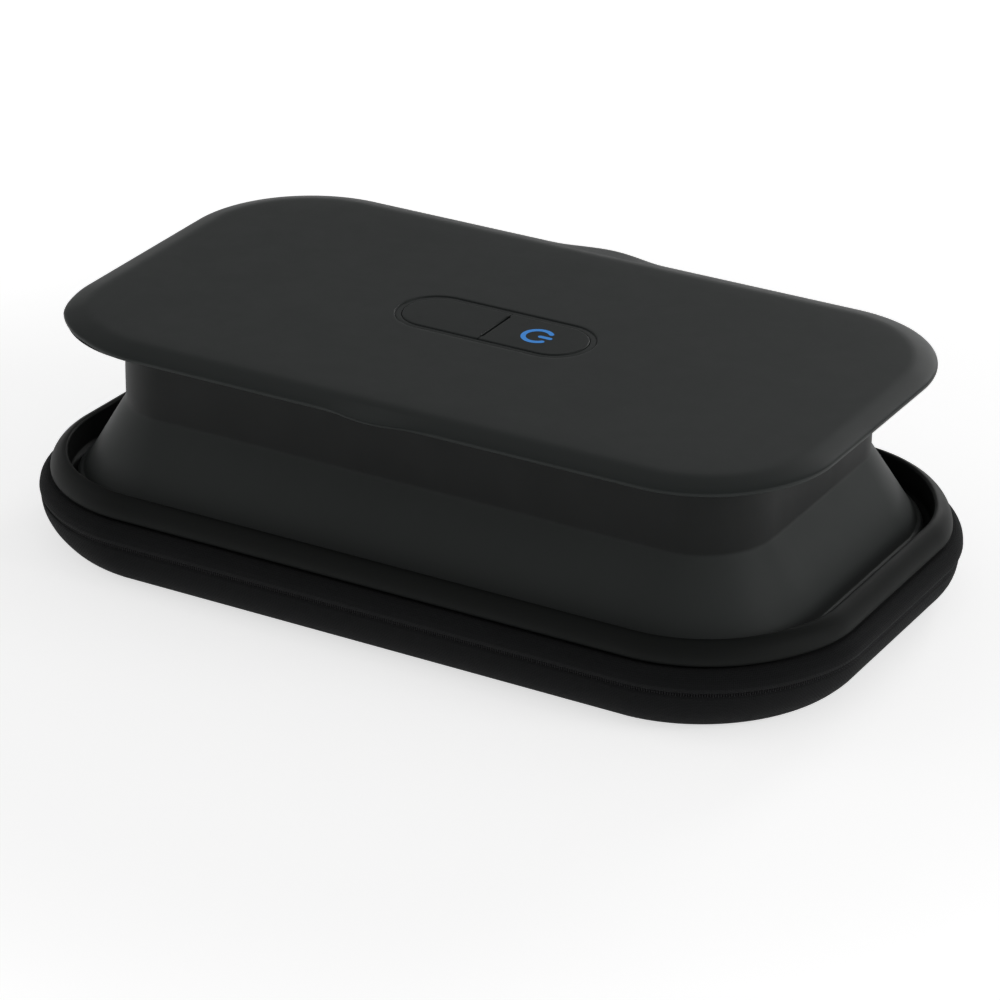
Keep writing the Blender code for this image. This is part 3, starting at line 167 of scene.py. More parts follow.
def round_track(corner, long, short):
    """Rows of points round the case from the middle of the back, and the whole length.

    The numbers are the steps in a corner, in half a long side and in a short side.
    """
    rows = []
    run = 0.0

    def straight(start, end, normal, steps):
        nonlocal run
        a, b = np.array(start), np.array(end)
        size = np.linalg.norm(b - a)
        for i in range(steps):
            p = a + (b - a) * i / steps
            rows.append((*p, *normal, run + size * i / steps))
        run += size

    def turn(centre, start, end, steps):
        nonlocal run
        size = abs(end - start) * FULL
        for i in range(steps):
            t = start + (end - start) * i / steps
            rows.append((*centre, math.cos(t), math.sin(t), run + size * i / steps))
        run += size

    q = math.pi / 2
    straight((0, CORE_Y), (CORE_X, CORE_Y), (0, 1), long)
    turn((CORE_X, CORE_Y), q, 0, corner)
    straight((CORE_X, CORE_Y), (CORE_X, -CORE_Y), (1, 0), short)
    turn((CORE_X, -CORE_Y), 0, -q, corner)
    straight((CORE_X, -CORE_Y), (-CORE_X, -CORE_Y), (0, -1), 2 * long)
    turn((-CORE_X, -CORE_Y), -q, -2 * q, corner)
    straight((-CORE_X, -CORE_Y), (-CORE_X, CORE_Y), (-1, 0), short)
    turn((-CORE_X, CORE_Y), -2 * q, -3 * q, corner)
    straight((-CORE_X, CORE_Y), (0, CORE_Y), (0, 1), long)
    return np.array(rows), run


TRACK, TRACK_LENGTH = round_track(corner=28, long=44, short=16)
COVER_TRACK, _ = round_track(corner=30, long=60, short=16)


def open_track(start):
    """The track from a place on the back's right round to the zipper rows' end on its left."""
    clear = 0.3
    first = np.array([start, CORE_Y, 0, 1, start])
    last = np.array([-ROW_END, CORE_Y, 0, 1, TRACK_LENGTH - ROW_END])
    inside = (TRACK[:, RUN] > start + clear) & (TRACK[:, RUN] < last[RUN] - clear)
    return np.vstack([first, TRACK[inside], last])


def notched_track():
    """The track with rows at the sides of the slider's notch and beside the hinge tape."""
    extra = [(x, CORE_Y, 0, 1, x) for x in (*NOTCH_SIDES, *FLAT_EASE)]
    extra += [(-x, CORE_Y, 0, 1, TRACK_LENGTH - x) for x in FLAT_EASE]
    rows = np.vstack([TRACK, extra])
    return rows[np.argsort(rows[:, RUN], kind="stable")]


def table(value, *pairs):
    """Reads a broken line, given as pairs of place and amount."""
    places, amounts = zip(*pairs)
    return np.interp(value, places, amounts)


def belly(track):
    """The share of the fabric's swell along the track: none at the back, all round the front."""
    run = np.minimum(track[:, RUN], TRACK_LENGTH - track[:, RUN])
    growth = np.where(track[:, CX] < 0, BELLY_GROWTH_LEFT, BELLY_GROWTH_RIGHT)
    t = np.clip((run - BELLY_START) / growth, 0.0, 1.0)
    return t * t * (3 - 2 * t)


def bow(track, z):
    """How far the ends stand outwards at one height: the right bows, the left runs askew."""
    level = table(z, (2.0, 0.0), (6.0, 0.8), (11.35, 1.5), (14.0, 1.6), (17.3, 1.6), (22.9, 1.2))
    right = level * (track[:, NX] > 0) * np.abs(track[:, NX]) ** BOW_POWER
    rise = table(z, (2.0, 0.0), (9.0, 1.0))
    askew = table(track[:, CY], (-CORE_Y, 0.3), (CORE_Y, -1.6))
    return right + rise * askew * np.clip(-track[:, NX], 0.0, 1.0) ** 2


def fabric_swell(track, row):
    """How far the fabric stands out at one point of a section; its inner faces stay plain."""
    inset, z = row
    inner_face, floor_top = 2.2, 2.4
    if inset > inner_face and z > floor_top:
        return np.zeros(len(track))
    out = table(z, (3.0, 0.0), (6.0, 0.20), (9.6, 0.50), (11.3, 0.65), (13.2, 1.10),
                (14.6, 0.85), (16.0, 0.30), (17.1, 0.0))
    left = table(z, (1.0, 0.0), (5.0, 0.8), (8.0, 1.1), (11.3, 1.0), (13.2, 0.4), (16.0, 0.0))
    groove = table(z, (8.5, 0.0), (9.0, 0.50), (11.2, 0.35), (11.7, 0.05), (12.9, 0.50),
                   (13.6, 0.62), (13.95, 0.0))
    soft = belly(track)
    nx, ny = track[:, NX], track[:, NY]
    out = out + left * np.clip(-nx, 0, 1) ** 2 * np.clip(1 - ny, 0, 1)
    corner = 2 * np.abs(nx * ny) * np.where(ny < 0, 1.0, 0.4)
    round_off = table(z, (0.0, 1.0), (3.0, 1.0), (8.0, 0.4), (11.0, 0.0))
    under = table(inset, (7.0, 1.0), (11.0, 0.0))
    return under * (soft * out - (1 - soft) * groove - corner * round_off + bow(track, z))


def seam_swell(track, _row=None):
    """How far the zipper stands out along the track."""
    return SEAM_SWELL * belly(track) + bow(track, SEAM)


def rim_bow(track, row):
    """The rim follows the ends, but its inner edge leaves room for the lowered lid."""
    inset, z = row
    move = bow(track, z)
    inner = np.maximum(move, -RIM_ROOM * np.clip(-track[:, NX], 0.0, 1.0) ** 2)
    share = table(inset, (3.2, 0.0), (5.6, 1.0))
    return (move * (1 - share) + inner * share) * table(inset, (6.3, 1.0), (7.6, 0.0))


def fillet(points, radius=0.25, steps=3, closed=True):
    """Rounds a section's corners, by a point's own radius where it has one."""
    nearly_straight = -0.9995
    most_of_side = 0.48
    out = []
    n = len(points)
    for i in range(n):
        p = np.array(points[i][:2], float)
        r = points[i][2] if len(points[i]) > 2 else radius
        if (not closed and i in (0, n - 1)) or r <= 0:
            out.append(p)
            continue
        a = np.array(points[i - 1][:2], float) - p
        b = np.array(points[(i + 1) % n][:2], float) - p
        la, lb = np.linalg.norm(a), np.linalg.norm(b)
        cosine = float(a @ b / (la * lb))
        if cosine < nearly_straight:
            out.append(p)
            continue
        half = math.acos(max(-1.0, min(1.0, cosine))) / 2
        d = min(r / math.tan(half), la * most_of_side, lb * most_of_side)
        start, end = p + a / la * d, p + b / lb * d
        for k in range(steps + 1):
            t = k / steps
            out.append((1 - t) ** 2 * start + 2 * t * (1 - t) * p + t * t * end)
    return np.array(out)


def smooth_run(points, steps=4):
    """A smooth curve through points."""
    pts = np.array(points, float)
    ext = np.vstack([2 * pts[0] - pts[1], pts, 2 * pts[-1] - pts[-2]])
    out = []
    for i in range(1, len(ext) - 2):
        a, b, c, d = ext[i - 1], ext[i], ext[i + 1], ext[i + 2]
        for k in range(steps):
            t = k / steps
            out.append(0.5 * (2 * b + (c - a) * t + (2 * a - 5 * b + 4 * c - d) * t * t
                              + (3 * b - a - 3 * c + d) * t ** 3))
    out.append(pts[-1])
    return np.array(out)


def arc(cx, cz, rx, rz, a0, a1, steps):
    """Points on part of an ellipse, between two angles in degrees."""
    out = []
    for k in range(steps + 1):
        t = math.radians(a0 + (a1 - a0) * k / steps)
        out.append((cx + rx * math.cos(t), cz + rz * math.sin(t)))
    return out


def lengths(points):
    """The length run at each point of a line."""
    return np.concatenate([[0], np.cumsum(np.linalg.norm(np.diff(points, axis=0), axis=1))])


def loop_at(track, out, z):
    """A loop of points that lie a given way out from the track's core."""
    return np.stack([track[:, CX] + track[:, NX] * out, track[:, CY] + track[:, NY] * out,
                     z + np.zeros(len(track))], 1)


# Meshes

def linked(name, mesh):
    obj = bpy.data.objects.new(name, mesh)
    bpy.context.scene.collection.objects.link(obj)
    return obj


def from_bmesh(name, bm):
    mesh = bpy.data.meshes.new(name)
    bm.to_mesh(mesh)
    bm.free()
    return linked(name, mesh)


def mesh_object(name, points, faces):
    """An object from points in millimetres."""
    mesh = bpy.data.meshes.new(name)
    mesh.from_pydata((np.array(points, float) * MM).tolist(), [], faces)
    return linked(name, mesh)


def turn_outwards(bm):
    bmesh.ops.recalc_face_normals(bm, faces=bm.faces)
    if bm.calc_volume(signed=True) < 0:
        bmesh.ops.reverse_faces(bm, faces=bm.faces)


def facing_out(obj):
    """Turns a mesh's faces outwards."""
    bm = bmesh.new()
    bm.from_mesh(obj.data)
    turn_outwards(bm)
    bm.to_mesh(obj.data)
    bm.free()
    return obj


def finished(obj, paint, angle):
    """Gives a piece its material, and smooths it but for edges sharper than an angle."""
    obj.data.materials.append(paint.mat)
    obj.data.shade_smooth()
    obj.data.set_sharp_from_angle(angle=math.radians(angle))


def bridged(loops, size, base=0, closed=False):
    """Faces between loops of equal size, which are either closed round or capped."""
    faces = []
    for j in range(loops if closed else loops - 1):
        k = (j + 1) % loops
        for i in range(size):
            m = (i + 1) % size
            faces.append((base + j * size + i, base + j * size + m,
                          base + k * size + m, base + k * size + i))
    if not closed:
        faces += [tuple(base + j * size + i for i in range(size)) for j in (0, loops - 1)]
    return faces


def grid_object(name, grid, ring, along, across):
    """A mesh from a grid: rows go along the track, columns go round a closed section.

    Its attribute lay holds the lengths along and across, for the woven materials.
    """
    n, m = grid.shape[:2]
    s_of = np.append(along, TRACK_LENGTH)
    t_of = np.append(across, across[-1] + np.linalg.norm(grid[0, 0] - grid[0, -1]))
    faces, lay = [], []
    for i in range(n if ring else n - 1):
        j = (i + 1) % n
        for k in range(m):
            after = (k + 1) % m
            faces.append((i * m + k, j * m + k, j * m + after, i * m + after))
            lay += [(s_of[i], t_of[k], 0), (s_of[i + 1], t_of[k], 0),
                    (s_of[i + 1], t_of[k + 1], 0), (s_of[i], t_of[k + 1], 0)]
    if not ring:
        for i in (0, n - 1):
            faces.append(tuple(i * m + k for k in range(m)))
            lay += [(s_of[i], t_of[k], 0) for k in range(m)]
    obj = mesh_object(name, grid.reshape(-1, 3), faces)
    layer = obj.data.attributes.new("lay", "FLOAT_VECTOR", "CORNER")
    layer.data.foreach_set("vector", (np.array(lay, np.float32) * MM).ravel())
    return facing_out(obj)


def band(name, section, track=TRACK, ring=True, ripple=None, shape=None):
    """A closed section swept along the track."""
    section = np.array(section, float)
    loops = []
    for row in section:
        out = FULL - row[0]
        if ripple is not None:
            out = out + ripple(track, row)
        loops.append(loop_at(track, out, row[1]))
    grid = np.stack(loops, 1)
    if shape is not None:
        shape(grid, track)
    return grid_object(name, grid, ring, track[:, RUN], lengths(section))


def distance_from_core(co):
    x = max(abs(co.x) - CORE_X * MM, 0.0)
    y = max(abs(co.y) - CORE_Y * MM, 0.0)
    return math.hypot(x, y)


def cap_middle(obj):
    """Turns the upright wall at a swept floor's inner end into two flat caps."""
    bm = bmesh.new()
    bm.from_mesh(obj.data)
    out = (FULL - MIDDLE) * MM
    inner = [f for f in bm.faces
             if all(abs(distance_from_core(v.co) - out) < 1e-6 for v in f.verts)]
    bmesh.ops.delete(bm, geom=inner, context="FACES_ONLY")
    bmesh.ops.holes_fill(bm, edges=[e for e in bm.edges if e.is_boundary])
    bmesh.ops.delete(bm, geom=[e for e in bm.edges if not e.link_faces], context="EDGES")
    turn_outwards(bm)
    layer = bm.loops.layers.float_vector.get("lay")
    caps = [f for f in bm.faces if len(f.verts) > 8]
    for f in caps:
        for loop in f.loops:
            loop[layer] = Vector((loop.vert.co.x, loop.vert.co.y, 0))
    bm.to_mesh(obj.data)
    bm.free()


# Materials

class Nodes:
    """Adds nodes to one tree."""

    def __init__(self, tree):
        self.tree = tree

    def node(self, kind, **settings):
        """A shader node with its own settings and its sockets' values."""
        made = self.tree.nodes.new("ShaderNode" + kind)
        for key, value in settings.items():
            if hasattr(made, key):
                setattr(made, key, value)
            else:
                made.inputs[key].default_value = value
        return made

    def link(self, a, b):
        self.tree.links.new(a, b)

    def maths(self, operation, a, b=None):
        made = self.node("Math", operation=operation)
        for i, value in enumerate((a, b)):
            if value is None:
                continue
            if isinstance(value, (int, float)):
                made.inputs[i].default_value = value
            else:
                self.link(value, made.inputs[i])
        return made.outputs[0]

    def spread(self, value, low, high, to_low=0.0, to_high=1.0):
        """Maps one span of a value smoothly to another."""
        ends = {"From Min": low, "From Max": high, "To Min": to_low, "To Max": to_high}
        made = self.node("MapRange", interpolation_type="SMOOTHSTEP", **ends)
        self.link(value, made.inputs["Value"])
        return made.outputs["Result"]

    def axis(self, vector, which):
        made = self.node("SeparateXYZ")
        self.link(vector, made.inputs[0])
        return made.outputs[which]

    def object_place(self):
        return self.node("TexCoord").outputs["Object"]


class Paint(Nodes):
    """Builds one material."""

    def __init__(self, name, colour, roughness, metallic=0.0, **more):
        self.mat = bpy.data.materials.new(name)
        self.mat.use_nodes = True
        super().__init__(self.mat.node_tree)
        self.shader = self.tree.nodes["Principled BSDF"]
        plain = {"Base Color": (*colour, 1.0), "Roughness": roughness, "Metallic": metallic}
        for key, value in (*plain.items(), *more.items()):
            self.shader.inputs[key.replace("_", " ")].default_value = value
        self.colour = colour
        self.mat.diffuse_color = (*colour, 1.0)

    def lay(self):
        return self.node("Attribute", attribute_name="lay").outputs["Vector"]

    def noise(self, place, scale, detail=3.0, rough=0.55):
        made = self.node("TexNoise", Scale=scale, Detail=detail, Roughness=rough)
        self.link(place, made.inputs["Vector"])
        return made.outputs["Fac"]

    def tint(self, fac, dark, light):
        """Varies the colour between two shares of itself."""
        made = self.node("Mix", data_type="RGBA")
        made.inputs[6].default_value = (*[c * dark for c in self.colour], 1.0)
        made.inputs[7].default_value = (*[min(1.0, c * light) for c in self.colour], 1.0)
        self.link(fac, made.inputs[0])
        self.link(made.outputs[2], self.shader.inputs["Base Color"])

    def rough(self, fac, low, high):
        self.link(self.spread(fac, 0.25, 0.75, low, high), self.shader.inputs["Roughness"])

    def bump(self, height, depth, strength=1.0, after=None):
        made = self.node("Bump", Strength=strength, Distance=depth * MM)
        self.link(height, made.inputs["Height"])
        if after is not None:
            self.link(after.outputs[0], made.inputs["Normal"])
        self.link(made.outputs[0], self.shader.inputs["Normal"])
        return made

    def painted_shade_above(self, foot, top, share):
        """Paints shade into the colour: darkens it over a short rise in height, down to a share
        of itself.
        """
        shade = self.spread(self.axis(self.object_place(), 2), foot, top, 1.0, share)
        base = self.shader.inputs["Base Color"]
        both = self.node("Mix", data_type="RGBA", blend_type="MULTIPLY")
        both.inputs[0].default_value = 1.0
        self.link(base.links[0].from_socket, both.inputs[6])
        self.link(shade, both.inputs[7])
        self.link(both.outputs[2], base)


def moulded(name, colour, roughness, grain=0.35, depth=0.012, vary=0.06, **more):
    """Moulded plastic or rubber: fine grain, faint handling marks and slight unevenness."""
    p = Paint(name, colour, roughness, **more)
    place = p.object_place()
    fine = p.noise(place, 1000.0 / grain * 0.5, 2.0)
    broad = p.noise(place, 28.0, 4.0)
    p.tint(p.spread(broad, 0.3, 0.7), 1 - vary, 1 + vary)
    marks = p.noise(place, 90.0, 5.0, 0.65)
    p.rough(marks, roughness - 0.02, roughness + 0.03)
    first = p.bump(fine, depth)
    p.bump(broad, 0.05, 0.10, first)
    return p


def woven(name, colour, roughness, thread, depth, **more):
    """Plain weave along the lay of the piece, with uneven threads and painted shade between them.
    """
    p = Paint(name, colour, roughness, **more)
    lay = p.lay()
    s, t = p.axis(lay, 0), p.axis(lay, 1)
    turns = math.pi / (thread * MM)
    wobble = p.noise(lay, 900.0, 2.0)
    shift = p.maths("MULTIPLY", p.maths("SUBTRACT", wobble, 0.5), 0.9)
    us = p.maths("ADD", p.maths("MULTIPLY", s, turns), shift)
    ut = p.maths("ADD", p.maths("MULTIPLY", t, turns), shift)
    warp = p.maths("ABSOLUTE", p.maths("SINE", us))
    weft = p.maths("ABSOLUTE", p.maths("SINE", ut))
    check = p.maths("SINE", p.maths("ADD", us, math.pi / 2))
    check = p.maths("MULTIPLY", check, p.maths("SINE", p.maths("ADD", ut, math.pi / 2)))
    over = p.spread(check, -0.25, 0.25)
    a = p.maths("MULTIPLY", warp, over)
    b = p.maths("MULTIPLY", weft, p.maths("SUBTRACT", 1.0, over))
    height = p.maths("ADD", a, b)
    tone = p.noise(p.object_place(), 60.0, 4.0)
    # Painted shade and highlight: darker between the threads and lighter on their crests, times a
    # noise tone for uneven threads
    weave_shade_and_tone = p.maths("MULTIPLY", height, p.spread(tone, 0.2, 0.8, 0.75, 1.15))
    p.tint(p.spread(weave_shade_and_tone, 0.1, 1.0), 0.55, 1.45)
    p.bump(height, depth)
    return p


def metal(name, colour, roughness):
    """Metal with an uneven polish."""
    p = Paint(name, colour, roughness, 1.0)
    place = p.object_place()
    broad = p.noise(place, 160.0, 4.0)
    p.tint(p.spread(broad, 0.3, 0.7), 0.88, 1.08)
    p.rough(p.noise(place, 700.0, 3.0), roughness - 0.06, roughness + 0.10)
    p.bump(p.noise(place, 2500.0, 2.0), 0.006)
    return p


def embossed_foil(name, colour, roughness):
    """Reflective foil with a fine pattern of small domes, and creases."""
    p = Paint(name, colour, roughness, 1.0)
    place = p.object_place()
    domes = p.node("TexVoronoi", Scale=380.0, Randomness=0.15)
    p.link(place, domes.inputs["Vector"])
    creases = p.noise(place, 45.0, 5.0, 0.6)
    p.tint(p.spread(creases, 0.3, 0.7), 0.88, 1.03)
    p.rough(creases, 0.18, 0.32)
    p.bump(creases, 0.25, 0.5, p.bump(domes.outputs["Distance"], 0.12, 0.6))
    return p


def linear(r, g, b):
    """Linear colour from eight-bit display values."""
    return tuple(((c / 255 + 0.055) / 1.055) ** 2.4 if c > 10 else c / 255 / 12.92
                 for c in (r, g, b))


SOFT = moulded("soft_touch_plastic", linear(45, 49, 48), 0.50, 0.30, 0.010, 0.02,
               Sheen_Weight=0.02, Sheen_Roughness=0.5, Specular_IOR_Level=0.24)
PANEL = moulded("panel_plastic", linear(42, 46, 45), 0.50, 0.28, 0.010, 0.03,
                Specular_IOR_Level=0.24)
INNER = moulded("inner_plastic", linear(58, 60, 60), 0.50, 0.5, 0.02, 0.05)
RUBBER = moulded("silicone", linear(63, 66, 65), 0.55, 0.25, 0.008, 0.03,
                 Sheen_Weight=0.02, Sheen_Roughness=0.4, Specular_IOR_Level=0.20)
# Painted shade: the silicone's colour darkens above the fold, where the lid's overhang shades the
# neck
RUBBER.painted_shade_above(NECK_FOOT, NECK_TOP, NECK_PAINTED_SHADE_SHARE)
RIM = moulded("rim_plastic", linear(27, 29, 28), 0.56, 0.30, 0.012, 0.03,
              Specular_IOR_Level=0.14)
FABRIC = woven("case_fabric", linear(22, 23, 24), 0.90, 0.45, 0.09,
               Sheen_Weight=0.02, Sheen_Roughness=0.5, Specular_IOR_Level=0.20)
TAPE = woven("zipper_tape", linear(24, 24, 26), 0.80, 0.30, 0.06)
COIL = moulded("zipper_coil", linear(27, 27, 29), 0.46, 0.2, 0.006, 0.08,
               Specular_IOR_Level=0.25)
SLIDER = metal("zipper_metal", linear(78, 79, 82), 0.32)
THREAD = moulded("sewing_thread", linear(34, 34, 37), 0.6, 0.15, 0.03, 0.15)
BLUE = moulded("symbol_blue", linear(40, 120, 196), 0.35, 0.3, 0.004, 0.05,
               Emission_Color=(0.03, 0.22, 0.62, 1.0), Emission_Strength=0.5)
BOARD = moulded("circuit_board", linear(26, 84, 52), 0.38, 0.6, 0.02, 0.15)
CHIP = moulded("chip_black", linear(30, 30, 31), 0.5, 0.2, 0.01, 0.1)
LED = moulded("status_led", linear(235, 232, 215), 0.3, 0.4, 0.01, 0.05)
FOAM = moulded("foam", linear(52, 52, 54), 0.95, 0.5, 0.25, 0.2)
WIRE_RED = moulded("lead_red", linear(150, 22, 20), 0.45, 0.5, 0.01, 0.08)
WIRE_WHITE = moulded("lead_white", linear(205, 203, 198), 0.45, 0.5, 0.01, 0.05)
CELL = metal("battery_wrap", linear(196, 198, 202), 0.34)
STEEL = metal("steel", linear(170, 171, 174), 0.28)
MIRROR = metal("reflector", linear(225, 226, 230), 0.12)
GLASS = moulded("lamp_glass", linear(212, 206, 232), 0.05, 0.5, 0.002, 0.03,
                Transmission_Weight=0.85, IOR=1.46)
EMITTER = moulded("lamp_emitter", linear(216, 190, 245), 0.25, 0.3, 0.004, 0.04,
                  Emission_Color=(0.50, 0.24, 1.0, 1.0), Emission_Strength=1.6)
FOIL = embossed_foil("reflective_foil", linear(205, 206, 210), 0.24)


# Bottom tray

def make_tray():
    """The fabric tray with the lip that carries the zipper."""
    upright, ledge, lip_top = 8.6, 9.95, 11.02
    outside = arc(BEND, upright, BEND, upright, 268, 180, 18)
    lip = fillet([outside[-1], (0.0, 9.1, 0.3), (0.05, 10.2, 0.3), (0.32, lip_top, 0.35),
                  (1.3, lip_top, 0.1), (1.35, ledge, 0.1), (2.55, ledge, 0.2), (2.62, 8.4)],
                 steps=4, closed=False)
    inside = arc(WALL + BEND, WALL + BEND, BEND, BEND, 180, 270, 12)
    flat = [(14.0, WALL), (26.0, WALL), (MIDDLE, WALL), (MIDDLE, 0.0), (24.0, 0.0), (12.0, 0.0)]
    section = np.vstack([outside[:-1], lip[:-1], inside, flat])
    shell = band("case_tray", section, ripple=fabric_swell)
    cap_middle(shell)
    finished(shell, FABRIC, 38)
    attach(shell, "tray")
    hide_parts("tray_shell")


def make_lining():
    """The thin reflective pan that lies in the tray."""
    sheet, edge_top = 0.9, 9.9
    low = WALL + 0.3
    high = low + sheet
    edge = fillet([(low, 9.6), (low + 0.05, edge_top, 0.2), (high - 0.05, edge_top, 0.2),
                   (high + 0.02, 9.6)], closed=False)
    bend_x, bend_z = 10.2, edge_top
    bowl = arc(bend_x, bend_z, bend_x - high, bend_z - high, 180, 270, 12)
    flat = [(16.0, high), (MIDDLE, high), (MIDDLE, low), (16.0, low)]
    under = arc(bend_x, bend_z, bend_x - low, bend_z - low, 270, 180, 12)
    lining = band("tray_lining", np.vstack([edge, bowl, flat, under]))
    cap_middle(lining)
    finished(lining, FOIL, 38)
    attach(lining, "tray")
    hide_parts("tray_liner")


# Upper case, hinge, rim and wall

def make_side():
    """The fabric side above the zipper."""
    foot, slot, top = 11.68, 12.72, 17.0
    swell = smooth_run([(0.16, 12.05), (-0.02, 12.7), (-0.12, 13.5), (-0.2, 14.4), (-0.2, 15.2),
                        (-0.05, 15.8), (0.25, 16.35), (0.75, 16.8)])
    section = [(1.3, foot, 0.1), (0.42, foot, 0.3), *swell.tolist(), (1.45, top, 0.3),
               (2.65, top, 0.15), (2.65, slot, 0.15), (1.35, slot, 0.1)]
    side = band("case_side", fillet(section, 0.2), notched_track(), ripple=fabric_swell,
                shape=notch)
    finished(side, FABRIC, 50)
    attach(side, "upper_case")
    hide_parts("side_band")


def make_clamp():
    """The ring that holds the wall's foot."""
    outer, inner, low, high = 11.75, 14.05, 16.15, 16.95
    section = [(outer, low), (outer, high), (inner, high), (inner, low)]
    ring = band("wall_clamp", fillet(section, 0.2))
    finished(ring, INNER, 40)
    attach(ring, "upper_case")
    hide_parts("clamp_ring")


def notch(grid, track):
    """Lifts the side's foot over the slider's notch, and flattens it behind the hinge tape."""
    x = track[:, CX]
    back = track[:, NY] > STRAIGHT
    inside = back & (x > NOTCH_FROM) & (x < NOTCH_TO)
    squeeze = (SIDE_TOP - NOTCH_TOP) / (SIDE_TOP - SIDE_FOOT)
    grid[inside, :, 2] = NOTCH_TOP + (grid[inside, :, 2] - SIDE_FOOT) * squeeze
    limit = table(np.abs(x), (FLAT_TO, FLAT_DEPTH), (SWELL_FROM, SWELL_DEPTH))
    rows = back & (np.abs(x) < SWELL_FROM)
    grid[rows, :, 1] = np.minimum(grid[rows, :, 1], limit[rows, None])


def make_hinge():
    """A fabric tape sewn across the back seam, with a row of stitches near each edge."""
    heights = np.concatenate([np.linspace(7.15, 9.6, 5), np.linspace(9.9, 12.9, 13),
                              np.linspace(13.2, 15.55, 5)])
    face = [(TAPE_FACE + 0.05 * math.sin((z - 7.1) * 1.9), z) for z in heights]
    back = [(TAPE_BACK if 7.5 < z < 15.2 else TAPE_SEWN, z) for z in heights[::-1]]
    section = np.array(face + back)
    end = np.array([TAPE_HALF - 0.15, TAPE_HALF])
    columns = np.concatenate([-end[::-1], np.linspace(-32.3, 32.3, 60), end])
    grid = np.zeros((len(columns), len(section), 3))
    for i, x in enumerate(columns):
        thin = 0.6 if abs(x) > TAPE_HALF - 0.05 else 1.0
        grid[i, :, 0] = x
        grid[i, :, 1] = TAPE_MIDDLE + (section[:, 0] - TAPE_MIDDLE) * thin
        grid[i, :, 2] = section[:, 1]
    tape = grid_object("hinge_fabric", grid, False, lengths(grid[:, 0]), lengths(grid[0]))
    finished(tape, TAPE, 50)
    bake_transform(tape)
    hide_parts("hinge_tape")
    for word, z, body in (("lower", 8.0, "tray"), ("upper", 14.8, "upper_case")):
        row = stitches("hinge_stitches_" + word, z)
        finished(row, THREAD, 80)
        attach(row, body)


def stitches(name, z):
    """A row of short stitches along the hinge tape, each a little aslant."""
    bm = bmesh.new()
    for x in np.arange(-31.5, 31.6, STITCH_PITCH):
        made = bmesh.ops.create_uvsphere(bm, u_segments=10, v_segments=6, radius=STITCH_R * MM)
        for v in made["verts"]:
            v.co.x = v.co.x * 2.1 + x * MM
            v.co.y = v.co.y * 0.34 + STITCH_DEPTH * MM
            v.co.z = v.co.z * 0.42 + z * MM + (v.co.x - x * MM) * 0.06
    return from_bmesh(name, bm)


def make_rim():
    """The smooth rim with its rounded crown, and the trough behind it."""
    crown = smooth_run([(1.65, 17.92), (1.57, 18.45), (1.8, 19.5), (2.4, 20.7), (3.25, 21.75),
                        (4.35, 22.6), (5.2, 22.95), (5.7, 22.9), (6.05, 22.5), (6.12, 22.0)])
    under, trough, step, slot, foot = 12.75, 14.3, 15.1, 16.1, 17.82
    rest = [(6.3, slot, 1.0), (7.8, trough, 0.8), (14.48, trough, 0.3), (14.48, step, 0.2),
            (15.98, step, 0.2), (15.98, under, 0.2), (4.9, under, 0.2), (4.9, slot, 0.2),
            (4.5, slot, 0.2), (4.5, under, 0.2), (3.05, under, 0.2), (3.05, foot, 0.1),
            (1.5, foot, 0.1)]
    body = fillet([tuple(crown[-2]), *rest, tuple(crown[0])], 0.2, closed=False)
    rim = band("case_rim", np.vstack([crown, body[1:-1]]), ripple=rim_bow)
    finished(rim, RIM, 40)
    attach(rim, "upper_case")
    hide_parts("rim_frame")


def wall_ripple(track, row):
    """The slight unevenness of the raised wall between its foot and the lid."""
    foot, rise = 18.0, 38.0
    height = (row[1] - foot) / rise
    if not 0.0 < height < 1.0:
        return np.zeros(len(track))
    ease = math.sin(math.pi * height) ** 2
    s = track[:, RUN] / TRACK_LENGTH * 2 * math.pi
    return ease * (0.16 * np.sin(3 * s + 0.7) + 0.12 * np.sin(7 * s + 2.1 + height * 2))


def make_wall():
    """The folding wall, raised: an upright neck, a soft fold, a flared skirt and its bead."""
    longest_step = 2.2
    foot = (9.0, 14.62, 0.4)
    neck, thick, top = 21.4, 1.5, 56.9
    flange_root, flange_end, flange_top = 11.08, 13.78, 15.8
    outer = fillet([foot, (8.3, 15.1, 0.5), (8.2, 16.4, 0.7), (8.75, 17.35, 0.7),
                    (9.75, 17.6, 0.35), (neck, 36.6, 2.6), (neck, top, 0.0)],
                   steps=6, closed=False)
    inner = fillet([(neck + thick, top, 0.0), (neck + thick, 35.8, 2.0),
                    (flange_root, 16.92, 0.5), (flange_root, flange_top, 0.2),
                    (flange_end, flange_top, 0.2), (flange_end, 14.6, 0.2), foot],
                   steps=6, closed=False)
    rows = []
    for part in (outer, inner[:-1]):
        for a, b in zip(part[:-1], part[1:]):
            steps = max(1, int(np.linalg.norm(b - a) / longest_step))
            rows += [a + (b - a) * k / steps for k in range(steps)]
        rows.append(part[-1])
    wall = band("folding_wall", rows, ripple=wall_ripple)
    finished(wall, RUBBER, 60)
    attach(wall, "upper_case")
    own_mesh(wall)
    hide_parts("silicone_wall")


# Zipper

def zipper_rows():
    """The two rows of teeth, meshed along the seam, and the woven tapes that carry them."""
    for word, body, sign, track, low, high in (
            ("lower", "tray", -1, open_track(ROW_END), 10.05, 11.30),
            ("upper", "upper_case", 1, open_track(UPPER_ROW_START), 11.42, 12.65)):
        face, back = 1.5, 1.95
        section = fillet([(face, low), (face, high), (back, high), (back, low)], 0.1, 2)
        tape = band("zipper_tape_" + word, section, track, ring=False, ripple=seam_swell)
        finished(tape, TAPE, 40)
        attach(tape, body)
        coil = teeth("zipper_teeth_" + word, track, sign, high if sign < 0 else low)
        finished(coil, COIL, 60)
        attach(coil, body)
        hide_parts("zipper_" + word)


def softened(size, power):
    """A power of a signed number that keeps its sign."""
    return math.copysign(abs(size) ** power, size)


